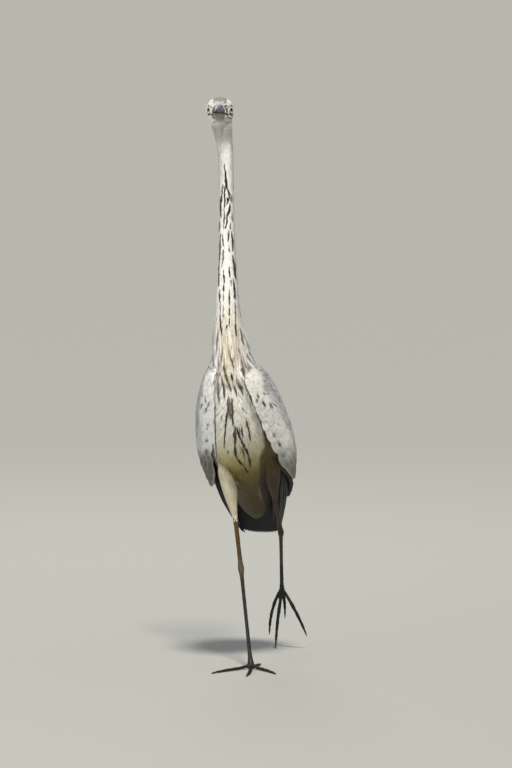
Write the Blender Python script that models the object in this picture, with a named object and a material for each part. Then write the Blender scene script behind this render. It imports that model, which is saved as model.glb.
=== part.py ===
"""Grey heron, life size, as a still museum model: a young bird in mid stride with its neck stretched up.

Run with: blender --background --python part.py
Metres, +Z up. The bird faces -Y and its left side is at +X. The origin is on the floor, at the centre of
the flat sole of the standing (right) foot. Every named part is one closed solid, and neighbours keep a
hairline gap to each other.
"""
import math

import bmesh
import bpy
import numpy as np
from mathutils import Matrix, Vector

# ---- driving dimensions -------------------------------------------------------------------------
GAP = 0.0003                 # between touching solids
RING = 18                    # corners of a body section

BODY_PITCH = math.radians(43)    # the trunk slopes down to the tail by this much
BODY_YAW = math.radians(2.5)     # and turns to the bird's left towards the tail
BEND = Vector((-0.0205, -0.118, 0.523))   # where the body axis starts, between the bends of the wings

EYE_SPAN = 0.0318            # between the centres of the eyes
EYE_RADIUS = 0.0070
HEAD_CENTRE = Vector((-0.033, -0.150, 0.9627))   # between the eyes
HEAD_YAW = math.radians(6.5)     # the bill points this far to the bird's left
HEAD_PITCH = math.radians(3.0)   # and this far above the horizontal
BILL_LENGTH = 0.120          # from the feathers of the forehead to the tip
BILL_BASE = 0.022            # from the centre of the eye to those feathers

HEM = 0.52                   # share of the tibia that is feathered
TARSUS_RADIUS = 0.0036
ANKLE_RADIUS = 0.0062
BALL_RADIUS = 0.0072
TOE_RADIUS = 0.0031
TOE_LENGTHS = {"inner": 0.074, "middle": 0.092, "outer": 0.082, "hind": 0.044}
CLAW_LENGTHS = {"inner": 0.012, "middle": 0.014, "outer": 0.012, "hind": 0.017}

# Knee, ankle and ball of each foot, and which way each toe runs from the ball. The right leg carries the
# bird on flat toes. The left one trails, its toes hanging, with the tip of the middle claw on the floor.
RIGHT_LEG = {
    "outside": -1,
    "knee": Vector((-0.035, -0.022, 0.357)),
    "ankle": Vector((-0.0202, 0.023, 0.1705)),
    "ball": Vector((0.0, 0.0, 0.0055)),
    "toes": {
        # which way            sideways bow               root, from the ball
        "inner": (Vector((0.60, -0.80, 0)), Vector((0.003, 0, 0)), Vector((0.0045, 0, 0))),
        "middle": (Vector((0.05, -1.00, 0)), Vector((0.002, 0, 0)), Vector((0, -0.0015, 0))),
        "outer": (Vector((-0.62, -0.78, 0)), Vector((-0.003, 0, 0)), Vector((-0.0045, 0, 0))),
        "hind": (Vector((0.16, 1.00, 0)), Vector((0.002, 0, 0)), Vector((0, 0.0035, 0))),
    },
}
LEFT_LEG = {
    "outside": 1,
    "knee": Vector((0.0275, 0.000, 0.358)),
    "ankle": Vector((0.0345, 0.135, 0.2205)),
    "ball": Vector((0.0226, 0.247, 0.1022)),
    "toes": {
        "inner": (Vector((-0.0246, 0.026, -0.0760)), Vector((-0.003, -0.010, 0.004)), Vector((-0.0048, 0, 0))),
        "middle": (Vector((-0.0136, 0.022, -0.1007)), Vector((-0.001, -0.006, 0.001)), Vector((0, -0.002, 0))),
        "outer": (Vector((0.0390, 0.028, -0.0770)), Vector((0.003, -0.010, 0.002)), Vector((0.0048, 0, 0))),
        "hind": (Vector((0.0010, 0.036, -0.0540)), Vector((0.001, 0.005, 0.002)), Vector((0.0005, 0.0055, 0))),
    },
}

# Down the neck: the section's centre, half its width, and how far it reaches towards the throat and
# towards the nape.
NECK = (
    # name of the place     x        y        z       half     front    back
    ("gullet",           -0.0330, -0.1385, 0.9570, 0.0165, 0.0190, 0.0150),
    ("jaw",              -0.0319, -0.1370, 0.9390, 0.0178, 0.0215, 0.0170),
    ("throat",           -0.0300, -0.1290, 0.9180, 0.0147, 0.0190, 0.0165),
    ("upper neck",       -0.0272, -0.1215, 0.8850, 0.0127, 0.0155, 0.0155),
    ("neck, a third",    -0.0262, -0.1175, 0.8050, 0.0122, 0.0150, 0.0155),
    ("mid neck",         -0.0250, -0.1210, 0.7350, 0.0138, 0.0160, 0.0165),
    ("neck, two thirds", -0.0244, -0.1250, 0.6700, 0.0176, 0.0195, 0.0205),
    ("lower neck",       -0.0230, -0.1230, 0.6100, 0.0228, 0.0270, 0.0290),
    ("neck root",        -0.0210, -0.1120, 0.5600, 0.0315, 0.0380, 0.0380),
)
# And along the trunk: distance from the bend of the wing along the body axis, rise above that axis, half
# the width, and the reach towards the belly and towards the back.
TRUNK = (
    ("shoulders",     0.024, 0.006, 0.0425, 0.0520, 0.0480),
    ("breast",        0.074, -0.003, 0.0530, 0.0660, 0.0580),
    ("keel",          0.127, -0.006, 0.0580, 0.0725, 0.0600),
    ("belly",         0.184, -0.006, 0.0580, 0.0705, 0.0580),
    ("flank",         0.238, -0.005, 0.0530, 0.0605, 0.0530),
    ("vent",          0.286, -0.005, 0.0450, 0.0460, 0.0450),
    ("tail root",     0.332, -0.005, 0.0350, 0.0380, 0.0300),
    ("undertail",     0.368, -0.006, 0.0230, 0.0300, 0.0150),
    ("undertail tip", 0.388, -0.010, 0.0100, 0.0170, 0.0060),
)
BODY_CUTS = ("gullet", "neck, a third", "neck, two thirds", "neck root", "undertail tip")

# The outside of the folded wings, round the body axis: at each distance from the bend, half the width over
# both wings, the rise above and the drop below the axis, and how thick the wing is.
FOLDED_WINGS = (
    (-0.020, 0.0310, 0.024, 0.040, 0.010),
    (-0.008, 0.0420, 0.034, 0.046, 0.014),
    (0.008, 0.0505, 0.043, 0.051, 0.017),
    (0.028, 0.0590, 0.051, 0.057, 0.020),
    (0.055, 0.0675, 0.060, 0.063, 0.023),
    (0.087, 0.0745, 0.066, 0.068, 0.025),
    (0.130, 0.0810, 0.069, 0.071, 0.024),
    (0.185, 0.0860, 0.068, 0.072, 0.022),
    (0.235, 0.0850, 0.064, 0.069, 0.018),
    (0.270, 0.0810, 0.059, 0.064, 0.014),
    (0.300, 0.0760, 0.054, 0.059, 0.010),
    (0.340, 0.0670, 0.046, 0.052, 0.006),
    (0.380, 0.0570, 0.037, 0.044, 0.005),
    (0.420, 0.0460, 0.028, 0.035, 0.004),
    (0.460, 0.0350, 0.020, 0.026, 0.004),
)
# Each layer's angles from straight up, where it starts and ends at each distance from the bend.
WING_EDGES = ((-0.020, 110, 127), (-0.008, 96, 137), (0.008, 78, 145), (0.028, 54, 149), (0.055, 38, 152),
              (0.087, 34, 152), (0.130, 33, 148), (0.185, 29, 136), (0.235, 21, 121), (0.270, 14, 108),
              (0.300, 6, 97), (0.330, 0.7, 86), (0.380, 1.5, 66), (0.405, 8, 50), (0.416, 18, 38))
PRIMARY_EDGES = ((0.225, 88, 100), (0.260, 78, 109), (0.300, 71, 120), (0.340, 66, 126), (0.380, 60, 124),
                 (0.420, 60, 120), (0.445, 66, 110), (0.462, 80, 96))
PRIMARY_THICKNESS = 0.006
PRIMARY_INSET = 0.0018       # under the inner face of the wing
MANTLE_EDGES = ((0.012, -14, 14), (0.040, -34, 34), (0.087, -39, 39), (0.150, -37, 37), (0.210, -31, 31),
                (0.260, -22, 22), (0.300, -12, 12), (0.325, -4, 4))
MANTLE_THICKNESS = 0.014
MANTLE_LIFT = 0.002          # over the wings

# Colours (linear), roughness
FINISHES = {
    "grey_feather": ((0.33, 0.34, 0.36), 0.80),
    "pale_feather": ((0.66, 0.65, 0.60), 0.85),
    "dark_feather": ((0.020, 0.022, 0.028), 0.70),
    "bill_horn": ((0.20, 0.17, 0.17), 0.40),
    "bill_pale": ((0.45, 0.33, 0.20), 0.45),
    "eye_yellow": ((0.70, 0.55, 0.12), 0.08),
    "shank_brown": ((0.22, 0.14, 0.07), 0.60),
    "leg_skin": ((0.075, 0.065, 0.055), 0.60),
    "claw_horn": ((0.030, 0.026, 0.024), 0.45),
}


# ---- helpers ------------------------------------------------------------------------------------
def clear_scene():
    for obj in list(bpy.data.objects):
        bpy.data.objects.remove(obj)


def collection(name, hidden=False):
    made = bpy.data.collections.new(name)
    made.hide_render = hidden
    bpy.context.scene.collection.children.link(made)
    return made


def finish(name):
    """The named finish as a material."""
    if name in bpy.data.materials:
        return bpy.data.materials[name]
    colour, roughness = FINISHES[name]
    material = bpy.data.materials.new(name)
    material.use_nodes = True
    shader = material.node_tree.nodes["Principled BSDF"]
    shader.inputs["Base Color"].default_value = (*colour, 1.0)
    shader.inputs["Roughness"].default_value = roughness
    shader.inputs["Metallic"].default_value = 0.0
    return material


def link(obj, home, look):
    """Puts a new object in its collection, shades it smooth and gives it its finish."""
    for user in list(obj.users_collection):
        user.objects.unlink(obj)
    home.objects.link(obj)
    obj.data.shade_smooth()
    obj.data.set_sharp_from_angle(angle=math.radians(50))
    if look:
        obj.data.materials.clear()
        obj.data.materials.append(finish(look))
    if home.hide_render:
        obj.hide_render = True
        obj.display_type = "WIRE"
    return obj


def smooth_rows(rows, places):
    """Rows of numbers read at fractional places along them, on a Catmull-Rom curve."""
    rows = np.asarray(rows, float)
    last = len(rows) - 1
    padded = np.vstack([2 * rows[0] - rows[1], rows, 2 * rows[-1] - rows[-2]])
    found = []
    for place in places:
        low = min(int(place), last - 1)
        t = place - low
        a, b, c, d = padded[low:low + 4]
        found.append(0.5 * (2 * b + (c - a) * t + (2 * a - 5 * b + 4 * c - d) * t ** 2
                            + (3 * b - a - 3 * c + d) * t ** 3))
    return np.array(found)


def loft(name, rings, home, look):
    """A closed solid of triangles through rings of corners, all of one count, with flat ends."""
    mesh = bmesh.new()
    made = [[mesh.verts.new(corner) for corner in ring] for ring in rings]
    for before, after in zip(made, made[1:]):
        for i in range(len(before)):
            j = (i + 1) % len(before)
            mesh.faces.new((before[i], before[j], after[j]))
            mesh.faces.new((before[i], after[j], after[i]))
    mesh.faces.new(made[0])
    mesh.faces.new(made[-1])
    bmesh.ops.recalc_face_normals(mesh, faces=mesh.faces)
    if mesh.calc_volume(signed=True) < 0:
        bmesh.ops.reverse_faces(mesh, faces=mesh.faces)
    data = bpy.data.meshes.new(name)
    mesh.to_mesh(data)
    mesh.free()
    obj = bpy.data.objects.new(name, data)
    return link(obj, home, look)


def oval(centre, side, up, half, below, above, count, squareness=2.0, turn=0.0):
    """A ring round centre, half wide to each side, with its own reach above and below. turn moves its
    corners round by that share of a step."""
    ring = []
    for i in range(count):
        angle = 2 * math.pi * (i + turn) / count
        s, c = math.sin(angle), math.cos(angle)
        across = math.copysign(abs(s) ** (2 / squareness), s) * half
        upward = math.copysign(abs(c) ** (2 / squareness), c) * (above if c > 0 else below)
        ring.append(centre + side * across + up * upward)
    return ring


def tube(name, points, radii, home, look, count=10, flatten=1.0, floor=False):
    """A round limb through points, with a radius at each and a domed end. floor keeps it above z = 0."""
    points = [Vector(p) for p in points]
    rings = []
    for i, (point, radius) in enumerate(zip(points, radii)):
        ahead = points[min(i + 1, len(points) - 1)] - points[max(i - 1, 0)]
        ahead.normalize()
        side = ahead.cross(Vector((0, 0, 1)))
        side = Vector((1, 0, 0)) if side.length < 0.3 else side.normalized()
        up = side.cross(ahead).normalized()
        side = ahead.cross(up).normalized()
        ring = oval(point, side, up, radius * flatten, radius, radius, count, turn=0.5)
        rings.append([Vector((p.x, p.y, max(p.z, 0.0))) for p in ring] if floor else ring)
    return loft(name, rings, home, look)


def subtract(obj, *cutters):
    for cutter in cutters:
        cut = obj.modifiers.new("clear " + cutter.name, "BOOLEAN")
        cut.operation = "DIFFERENCE"
        cut.solver = "EXACT"
        cut.object = cutter
    return obj


# ---- neck and trunk -----------------------------------------------------------------------------
def on_body(from_bend, out, rise):
    """A point by its distance from the bend of the wing along the body axis, and from that axis."""
    turn = Matrix.Rotation(-BODY_YAW, 3, "Z") @ Matrix.Rotation(-BODY_PITCH, 3, "X")
    return BEND + turn @ Vector((out, from_bend, rise))


def spine():
    """Centre, half width, front and back reach of each place, from the gullet to the tail."""
    rows = [row[1:] for row in NECK]
    for _, from_bend, rise, half, front, back in TRUNK:
        rows.append((*on_body(from_bend, 0, rise), half, front, back))
    return np.array(rows)


def place_of(name):
    return [row[0] for row in NECK + TRUNK].index(name)


def body_rings(places, grow=0.0):
    """Sections of the neck and trunk at fractional places along the spine."""
    rows = spine()
    step = 0.02
    rings = []
    for place, row in zip(places, smooth_rows(rows, places)):
        near = smooth_rows(rows, [max(place - step, 0), min(place + step, len(rows) - 1)])
        along = Vector(near[1][:3] - near[0][:3]).normalized()
        side = Vector((1, 0, 0))
        side = (side - along * side.dot(along)).normalized()
        back = along.cross(side)
        if back.y < 0:
            back = -back
        half, front, rear = row[3:] + grow
        rings.append(oval(Vector(row[:3]), side, back, half, front, rear, RING))
    return rings


def along_body(place):
    """Metres along the spine for each unit of place there."""
    rows = spine()
    a, b = smooth_rows(rows, [max(place - 0.05, 0), min(place + 0.05, len(rows) - 1)])
    return np.linalg.norm(b[:3] - a[:3]) / 0.1


def body_places():
    """Where each of the four solids has its sections, along the spine."""
    counts = (11, 5, 6, 16)
    pieces = []
    for i, count in enumerate(counts):
        start, end = place_of(BODY_CUTS[i]), place_of(BODY_CUTS[i + 1])
        if i:
            start += GAP / 2 / along_body(start)
        if i < len(counts) - 1:
            end -= GAP / 2 / along_body(end)
        pieces.append(np.linspace(start, end, count))
    return pieces


def make_neck_and_trunk(home, cutters):
    names = ("neck_upper", "neck_middle", "neck_lower", "trunk")
    pieces = body_places()
    made = {name: loft(name, body_rings(places), home, "pale_feather") for name, places in zip(names, pieces)}
    body_clear = loft("body_clear", body_rings(np.concatenate(pieces), GAP), cutters, None)
    return made, body_clear


# ---- head ---------------------------------------------------------------------------------------
def head_frame():
    """Head axes: forward along the bill, to its left, and up."""
    turn = Matrix.Rotation(HEAD_YAW, 3, "Z") @ Matrix.Rotation(-HEAD_PITCH, 3, "X")
    return turn @ Vector((0, -1, 0)), turn @ Vector((1, 0, 0)), turn @ Vector((0, 0, 1))


def head_point(ahead, left, up):
    f, s, u = head_frame()
    return HEAD_CENTRE + f * ahead + s * left + u * up


HEAD = (
    # ahead of the eyes  half     below    above   level of the widest line
    (-0.0500,           0.0040, 0.0050, 0.0060,  -0.0010),
    (-0.0470,           0.0105, 0.0115, 0.0120,  -0.0025),
    (-0.0400,           0.0165, 0.0175, 0.0190,  -0.0040),
    (-0.0270,           0.0212, 0.0200, 0.0245,  -0.0055),
    (-0.0120,           0.0222, 0.0198, 0.0272,  -0.0060),
    (0.0000,            0.0206, 0.0185, 0.0268,  -0.0058),
    (0.0110,            0.0160, 0.0152, 0.0225,  -0.0052),
    (0.0180,            0.0120, 0.0128, 0.0180,  -0.0048),
    (BILL_BASE,         0.0101, 0.0118, 0.0146,  -0.0045),
)


def head_rings(count, grow=0.0):
    forward, left, up = head_frame()
    rings = []
    for row in smooth_rows(HEAD, np.linspace(0, len(HEAD) - 1, count)):
        ahead, half, below, above, level = row
        centre = head_point(ahead + (grow if ahead > 0 else -grow), 0, level)
        rings.append(oval(centre, left, up, half + grow, below + grow, above + grow, RING, 2.25))
    return rings


def make_head(home, cutters):
    head = loft("head", head_rings(13), home, "grey_feather")
    head_clear = loft("head_clear", head_rings(13, GAP), cutters, None)
    for name, side in (("eye_left", 1), ("eye_right", -1)):
        centre = head_point(0.0, side * EYE_SPAN / 2, 0.0)
        for label, place, radius, look in ((name, home, EYE_RADIUS, "eye_yellow"),
                                           (name + "_socket", cutters, EYE_RADIUS + GAP, None)):
            bpy.ops.mesh.primitive_uv_sphere_add(segments=14, ring_count=8, radius=radius, location=centre)
            ball = bpy.context.active_object
            ball.name = label
            link(ball, place, look)
        subtract(head, bpy.data.objects[name + "_socket"])
    return head, head_clear


BILL = (
    # share of the length  half    culmen   keel, from the gape line
    (0.00,                0.0094, 0.0146, 0.0100),
    (0.08,                0.0088, 0.0138, 0.0096),
    (0.25,                0.0072, 0.0118, 0.0090),
    (0.50,                0.0052, 0.0092, 0.0076),
    (0.75,                0.0033, 0.0062, 0.0050),
    (0.92,                0.0017, 0.0034, 0.0022),
    (1.00,                0.0004, 0.0008, 0.0005),
)


def make_bill(home):
    """The two mandibles: half ovals above and below a flat gape line, from the feathers to the tip."""
    forward, left, up = head_frame()
    gape = -0.0060                       # the gape line below the level of the eyes
    rise = 0.0015                        # and its rise by the tip
    corners = 7
    for name, sign, look in (("bill_upper", 1, "bill_horn"), ("bill_lower", -1, "bill_pale")):
        rings = []
        for share, half, culmen, keel in smooth_rows(BILL, np.linspace(0, len(BILL) - 1, 10)):
            depth = culmen if sign > 0 else keel
            if sign < 0:
                share *= 0.985
            base = head_point(BILL_BASE + GAP + share * BILL_LENGTH, 0, gape + rise * share + sign * GAP / 2)
            ring = []
            for i in range(corners):
                angle = math.pi * i / (corners - 1)
                across, height = math.cos(angle), math.sin(angle) ** 0.85
                ring.append(base + left * across * half + up * sign * height * depth)
            rings.append(ring)
        loft(name, rings, home, look)


def make_crest(home, head_clear, body_clear):
    """The short nape plumes of a young bird, lying back over the top of the neck."""
    stations = (
        # ahead     up      half    thick
        (-0.0300, 0.0185, 0.0045, 0.0014),
        (-0.0420, 0.0120, 0.0065, 0.0030),
        (-0.0500, 0.0010, 0.0060, 0.0036),
        (-0.0515, -0.0130, 0.0048, 0.0032),
        (-0.0500, -0.0270, 0.0034, 0.0024),
        (-0.0490, -0.0400, 0.0012, 0.0010),
    )
    forward, left, up = head_frame()
    rings = []
    rows = smooth_rows(stations, np.linspace(0, len(stations) - 1, 9))
    for i, (ahead, height, half, thick) in enumerate(rows):
        near, far = rows[max(i - 1, 0)], rows[min(i + 1, len(rows) - 1)]
        along = (forward * (far[0] - near[0]) + up * (far[1] - near[1])).normalized()
        out = left.cross(along).normalized()
        rings.append(oval(head_point(ahead, 0, height), left, out, half, thick, thick, 8))
    crest = loft("crest", rings, home, "dark_feather")
    return subtract(crest, head_clear, body_clear)


# ---- wings, mantle and tail ---------------------------------------------------------------------
def by_distance(table, from_bend):
    """The columns of a table at a distance from the bend, between its rows."""
    distances = [row[0] for row in table]
    place = np.interp(from_bend, distances, range(len(table)))
    return smooth_rows(table, [place])[0][1:]


def layer_rings(side, edges, count, corners, depth, thickness, grow=0.0):
    """Crescent sections of one layer of the folded wings: out along its outer face and back along its
    inner one, thinning to both edges. depth takes it that far under the outside of the wings."""
    rings = []
    places = np.linspace(edges[0][0], edges[-1][0], count)
    for place, from_bend in enumerate(places):
        half, rise, drop, wing = by_distance(FOLDED_WINGS, from_bend)
        start, end = by_distance(edges, from_bend)
        under, thick = depth(wing), thickness(wing)
        longer = {0: -grow, count - 1: grow}.get(place, 0.0)
        outer, inner = [], []
        spread = math.degrees(grow / half)
        for i in range(corners):
            share = i / (corners - 1)
            angle = math.radians(start - spread + (end - start + 2 * spread) * share)
            s, c = math.sin(angle), math.cos(angle)
            height = rise if c > 0 else drop
            point = Vector((side * s * half, c * height, 0))
            taper = thick * (1 - math.sin(math.pi * (0.07 + 0.86 * share)) ** 0.5)
            for face, inset in ((outer, under + taper - grow), (inner, under + thick + grow)):
                p = point * (1 - inset / point.length)
                face.append(on_body(from_bend + longer, p.x, p.y))
        rings.append(outer + inner[::-1])
    return rings


def make_wings(home, cutters, body_clear):
    """The mantle over the back, a folded wing on each side tucked under it, and the dark primaries."""
    mantle_depth = -MANTLE_LIFT
    mantle, mantle_clear = [
        loft(name, layer_rings(1, MANTLE_EDGES, 13, 10, lambda wing: mantle_depth,
                               lambda wing: MANTLE_THICKNESS, grow), place, look)
        for name, place, look, grow in (("mantle", home, "grey_feather", 0.0),
                                        ("mantle_clear", cutters, None, GAP))]
    subtract(mantle, body_clear)
    for name, side in (("left", 1), ("right", -1)):
        wing, _ = [
            loft("wing_" + name + label, layer_rings(side, WING_EDGES, 17, 8, lambda wing: 0.0,
                                                     lambda wing: wing, grow), place, look)
            for label, place, look, grow in (("", home, "grey_feather", 0.0), ("_clear", cutters, None, GAP))]
        subtract(wing, body_clear, mantle_clear)
        blade = loft("primaries_" + name, layer_rings(side, PRIMARY_EDGES, 11, 5, lambda wing: wing + PRIMARY_INSET,
                                                      lambda wing: PRIMARY_THICKNESS), home, "dark_feather")
        subtract(blade, body_clear)


def make_tail(home, body_clear):
    stations = (
        # from bend  half    thick   rise
        (0.300,     0.022, 0.0060, -0.002),
        (0.350,     0.030, 0.0055, -0.002),
        (0.400,     0.0335, 0.0045, -0.003),
        (0.424,     0.0300, 0.0035, -0.004),
        (0.438,     0.0220, 0.0025, -0.005),
        (0.446,     0.010, 0.0012, -0.005),
    )
    rings = []
    along_side, out = on_body(0, 1, 0) - on_body(0, 0, 0), on_body(0, 0, 1) - on_body(0, 0, 0)
    for from_bend, half, thick, rise in smooth_rows(stations, np.linspace(0, len(stations) - 1, 10)):
        rings.append(oval(on_body(from_bend, 0, rise), along_side, out, half, thick, thick, 12, 2.3))
    tail = loft("tail", rings, home, "dark_feather")
    return subtract(tail, body_clear)


# ---- legs and feet ------------------------------------------------------------------------------
def between(a, b, share):
    return a + (b - a) * share


def ball_end(centre, along, radius, cap=3):
    """Places and radii that round off a tube's end about centre."""
    angles = [math.pi / 2 * i / cap for i in range(cap)]
    places = [centre + along * radius * math.sin(a) for a in angles]
    return places + [centre + along * radius * 0.985], [radius * math.cos(a) for a in angles] + [radius * 0.17]


def make_leg(name, leg, home, cutters, body_clear):
    """Feathered thigh, bare shank down to the ankle, and the long tarsus with its rounded ends."""
    knee, ankle, ball = leg["knee"], leg["ankle"], leg["ball"]
    along = (ankle - knee).normalized()
    side = Vector((1, 0, 0))
    side = (side - along * side.dot(along)).normalized()
    fore = along.cross(side)
    thigh_rows = (
        # share   out    half width  fore and aft
        (-0.24, -0.0040, 0.0060, 0.0070),
        (-0.10, 0.0010, 0.0105, 0.0150),
        (0.05, 0.0070, 0.0130, 0.0200),
        (0.14, 0.0058, 0.0134, 0.0205),
        (0.26, 0.0037, 0.0124, 0.0180),
        (0.40, 0.0023, 0.0076, 0.0110),
        (0.49, 0.0010, 0.0046, 0.0060),
        (HEM, 0.0006, 0.0042, 0.0050),
    )
    rings = []
    for share, out, half, depth in smooth_rows(thigh_rows, np.linspace(0, len(thigh_rows) - 1, 10)):
        centre = between(knee, ankle, share) + side * out * leg["outside"]
        rings.append(oval(centre, side, fore, half, depth, depth, 12))
    thigh = loft("thigh_" + name, rings, home, "pale_feather")
    subtract(thigh, body_clear, bpy.data.objects[f"wing_{name}_clear"])

    down = (ball - ankle).normalized()
    floor = ball.z < 0.02
    for label, place, look, grow in (("tarsus_" + name, home, "leg_skin", 0.0),
                                     ("tarsus_" + name + "_clear", cutters, None, GAP)):
        top, top_radii = ball_end(ankle, -down, ANKLE_RADIUS + grow)
        end, end_radii = ball_end(ball, down, BALL_RADIUS + grow)
        shares = (0.04, 0.08, 0.16, 0.5, 0.84, 0.93)
        middle = [between(ankle, ball, s) for s in shares]
        radii = [TARSUS_RADIUS * k + grow for k in (1.45, 1.12, 1.0, 0.95, 1.05, 1.35)]
        tube(label, top[::-1] + middle + end, top_radii[::-1] + radii + end_radii, place, look, 10,
             flatten=0.88, floor=floor)

    top = between(knee, ankle, HEM) + along * GAP
    shares = (0.0, 0.3, 0.65, 0.86, 0.97, 1.0)
    radii = (0.0042, 0.0039, 0.0036, 0.0040, 0.0052, 0.0054)
    shank = tube("shank_" + name, [between(top, ankle, s) for s in shares], radii, home, "shank_brown", 10)
    subtract(shank, bpy.data.objects["tarsus_" + name + "_clear"])


def make_foot(name, leg, home):
    """The four toes round the ball of the foot, each with its claw."""
    ball = leg["ball"]
    flat = ball.z < 0.02
    swell = (0.84, 0.86, 0.90, 1.12, 0.92, 1.08, 0.90, 1.02, 0.70)
    shares = (0.0, 0.10, 0.24, 0.36, 0.50, 0.62, 0.76, 0.90, 1.0)
    claw_shares = (0.0, 0.25, 0.55, 0.82, 1.0)
    claw_swell = (0.62, 0.62, 0.46, 0.30, 0.20)
    for toe, (reach, bow, root) in leg["toes"].items():
        toe_length, claw_length = TOE_LENGTHS[toe], CLAW_LENGTHS[toe]
        whole = toe_length + claw_length
        aim = reach.normalized() * whole - root

        def along_toe(share):
            """The toe's centre line, from the ball of the foot to the tip of the claw."""
            point = ball + root + aim * share + bow * 4 * share * (1 - share)
            if flat:
                rest = TOE_RADIUS * (0.80 - 0.62 * max(share - 0.45, 0))
                lift = max(1 - share / 0.30, 0) ** 1.5
                point.z = rest + (ball.z - rest) * lift
            return point

        def radius(k, share):
            return TOE_RADIUS * k * (1.10 - 0.28 * share)

        split = toe_length / whole
        tube(f"toe_{toe}_{name}", [along_toe(s * split) for s in shares],
             [radius(k, s) for k, s in zip(swell, shares)], home, "leg_skin", 8, floor=flat)
        start = split + GAP / whole
        tube(f"claw_{toe}_{name}", [along_toe(start + (1 - start) * s) for s in claw_shares],
             [TOE_RADIUS * k for k in claw_swell], home, "claw_horn", 6, floor=True)
        subtract(bpy.data.objects[f"toe_{toe}_{name}"], bpy.data.objects[f"tarsus_{name}_clear"])


clear_scene()
bird = collection("heron")
helpers = collection("cutters", hidden=True)
parts, body_clear = make_neck_and_trunk(bird, helpers)
head, head_clear = make_head(bird, helpers)
subtract(parts["neck_upper"], head_clear)
make_bill(bird)
make_crest(bird, head_clear, body_clear)
make_wings(bird, helpers, body_clear)
make_tail(bird, body_clear)
for name, leg in (("right", RIGHT_LEG), ("left", LEFT_LEG)):
    make_leg(name, leg, bird, helpers, body_clear)
    make_foot(name, leg, bird)
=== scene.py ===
# %% [markdown]
# # A young grey heron, life size
# This notebook dresses the plain solids of a heron in skin, feathers, horn and scales. The bird stands on
# its right leg in mid stride, neck stretched straight up, and faces the viewer. A museum model is made the
# same way: a body form first, a skin over it, then the plumage, feather tract by feather tract.

# %% Load the solids
import math
import bpy
import bmesh
import numpy as np
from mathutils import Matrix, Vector
from mathutils.bvhtree import BVHTree


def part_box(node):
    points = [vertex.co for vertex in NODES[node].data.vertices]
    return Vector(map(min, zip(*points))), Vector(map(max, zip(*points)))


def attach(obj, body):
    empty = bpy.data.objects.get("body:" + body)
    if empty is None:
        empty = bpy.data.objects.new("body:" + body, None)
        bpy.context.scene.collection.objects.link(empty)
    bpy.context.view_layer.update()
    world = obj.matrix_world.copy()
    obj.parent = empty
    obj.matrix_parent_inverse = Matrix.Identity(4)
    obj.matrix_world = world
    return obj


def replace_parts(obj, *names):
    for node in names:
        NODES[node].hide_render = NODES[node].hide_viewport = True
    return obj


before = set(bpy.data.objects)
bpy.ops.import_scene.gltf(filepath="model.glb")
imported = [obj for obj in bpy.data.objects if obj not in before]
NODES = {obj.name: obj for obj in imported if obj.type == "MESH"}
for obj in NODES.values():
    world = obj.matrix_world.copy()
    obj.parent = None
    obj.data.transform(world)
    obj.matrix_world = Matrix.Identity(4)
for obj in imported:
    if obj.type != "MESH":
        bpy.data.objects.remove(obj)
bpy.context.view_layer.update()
SIDES = (("left", 1), ("right", -1))
TOES = ("inner", "middle", "outer", "hind")
rng = np.random.default_rng(29)

# %% [markdown]
# ## The camera
# A long lens far away flattens the bird: the bill points at the viewer and shows almost end on. The lens is
# worked out from the height that the frame takes in at the bird.

# %% Camera
FRAME_HEIGHT = 1.3056    # metres
AZIMUTH = math.radians(7.3)
DISTANCE, EYE_LEVEL = 12.0, 1.60
AIM = Vector((0.0086, 0.0, 0.4885))
BIRD_MIDDLE = 0.5
camera = bpy.data.objects.new("camera", bpy.data.cameras.new("camera"))
bpy.context.scene.collection.objects.link(camera)
camera.location = (math.sin(AZIMUTH) * DISTANCE, -math.cos(AZIMUTH) * DISTANCE, EYE_LEVEL)
camera.rotation_euler = (AIM - camera.location).to_track_quat("-Z", "Y").to_euler()
reach = math.hypot(DISTANCE, EYE_LEVEL - BIRD_MIDDLE)
camera.data.lens = reach / FRAME_HEIGHT * camera.data.sensor_width
camera.data.clip_start, camera.data.clip_end = 0.5, 60
bpy.context.scene.camera = camera
print("lens mm:", round(camera.data.lens))

# %% [markdown]
# ## Small tools
# Every bird part below is described by a short table: a distance along the bird and a few sizes there. A
# smooth curve through the rows gives the sizes in between, for thousands of places at once.

# %% Curves, colours and steps
def unit(v):
    return v / np.maximum(np.linalg.norm(v, axis=-1, keepdims=True), 1e-12)


def along_surface(way, out):
    """The part of way that lies along a surface which faces out."""
    return way - (way * out).sum(-1, keepdims=True) * out


def read(table, where):
    """The columns of a table at places given in its first column, on a smooth curve."""
    rows = np.asarray(table, float)
    where = np.asarray(where, float)
    place = np.interp(where, rows[:, 0], np.arange(len(rows)))
    low = np.minimum(place.astype(int), len(rows) - 2)
    t = (place - low)[..., None]
    padded = np.vstack([2 * rows[0] - rows[1], rows, 2 * rows[-1] - rows[-2]])
    a, b, c, d = (padded[low + i] for i in range(4))
    found = 0.5 * (2 * b + (c - a) * t + (2 * a - 5 * b + 4 * c - d) * t ** 2
                   + (3 * b - a - 3 * c + d) * t ** 3)
    return np.moveaxis(found[..., 1:], -1, 0)


def step(low, high, x):
    """0 below low, 1 above high and smooth between."""
    t = np.clip((np.asarray(x, float) - low) / (high - low), 0, 1)
    return t * t * (3 - 2 * t)


def rgb(code):
    """A screen colour such as D8D6CC as linear light."""
    s = np.array([int(code[i:i + 2], 16) / 255 for i in (0, 2, 4)])
    return np.where(s <= 0.04045, s / 12.92, ((s + 0.055) / 1.055) ** 2.4)


def mix(a, b, t):
    return a + (b - a) * np.asarray(t)[..., None]


def plain(code, points):
    """One screen colour for every point."""
    return np.broadcast_to(rgb(code), points.shape)


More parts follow.
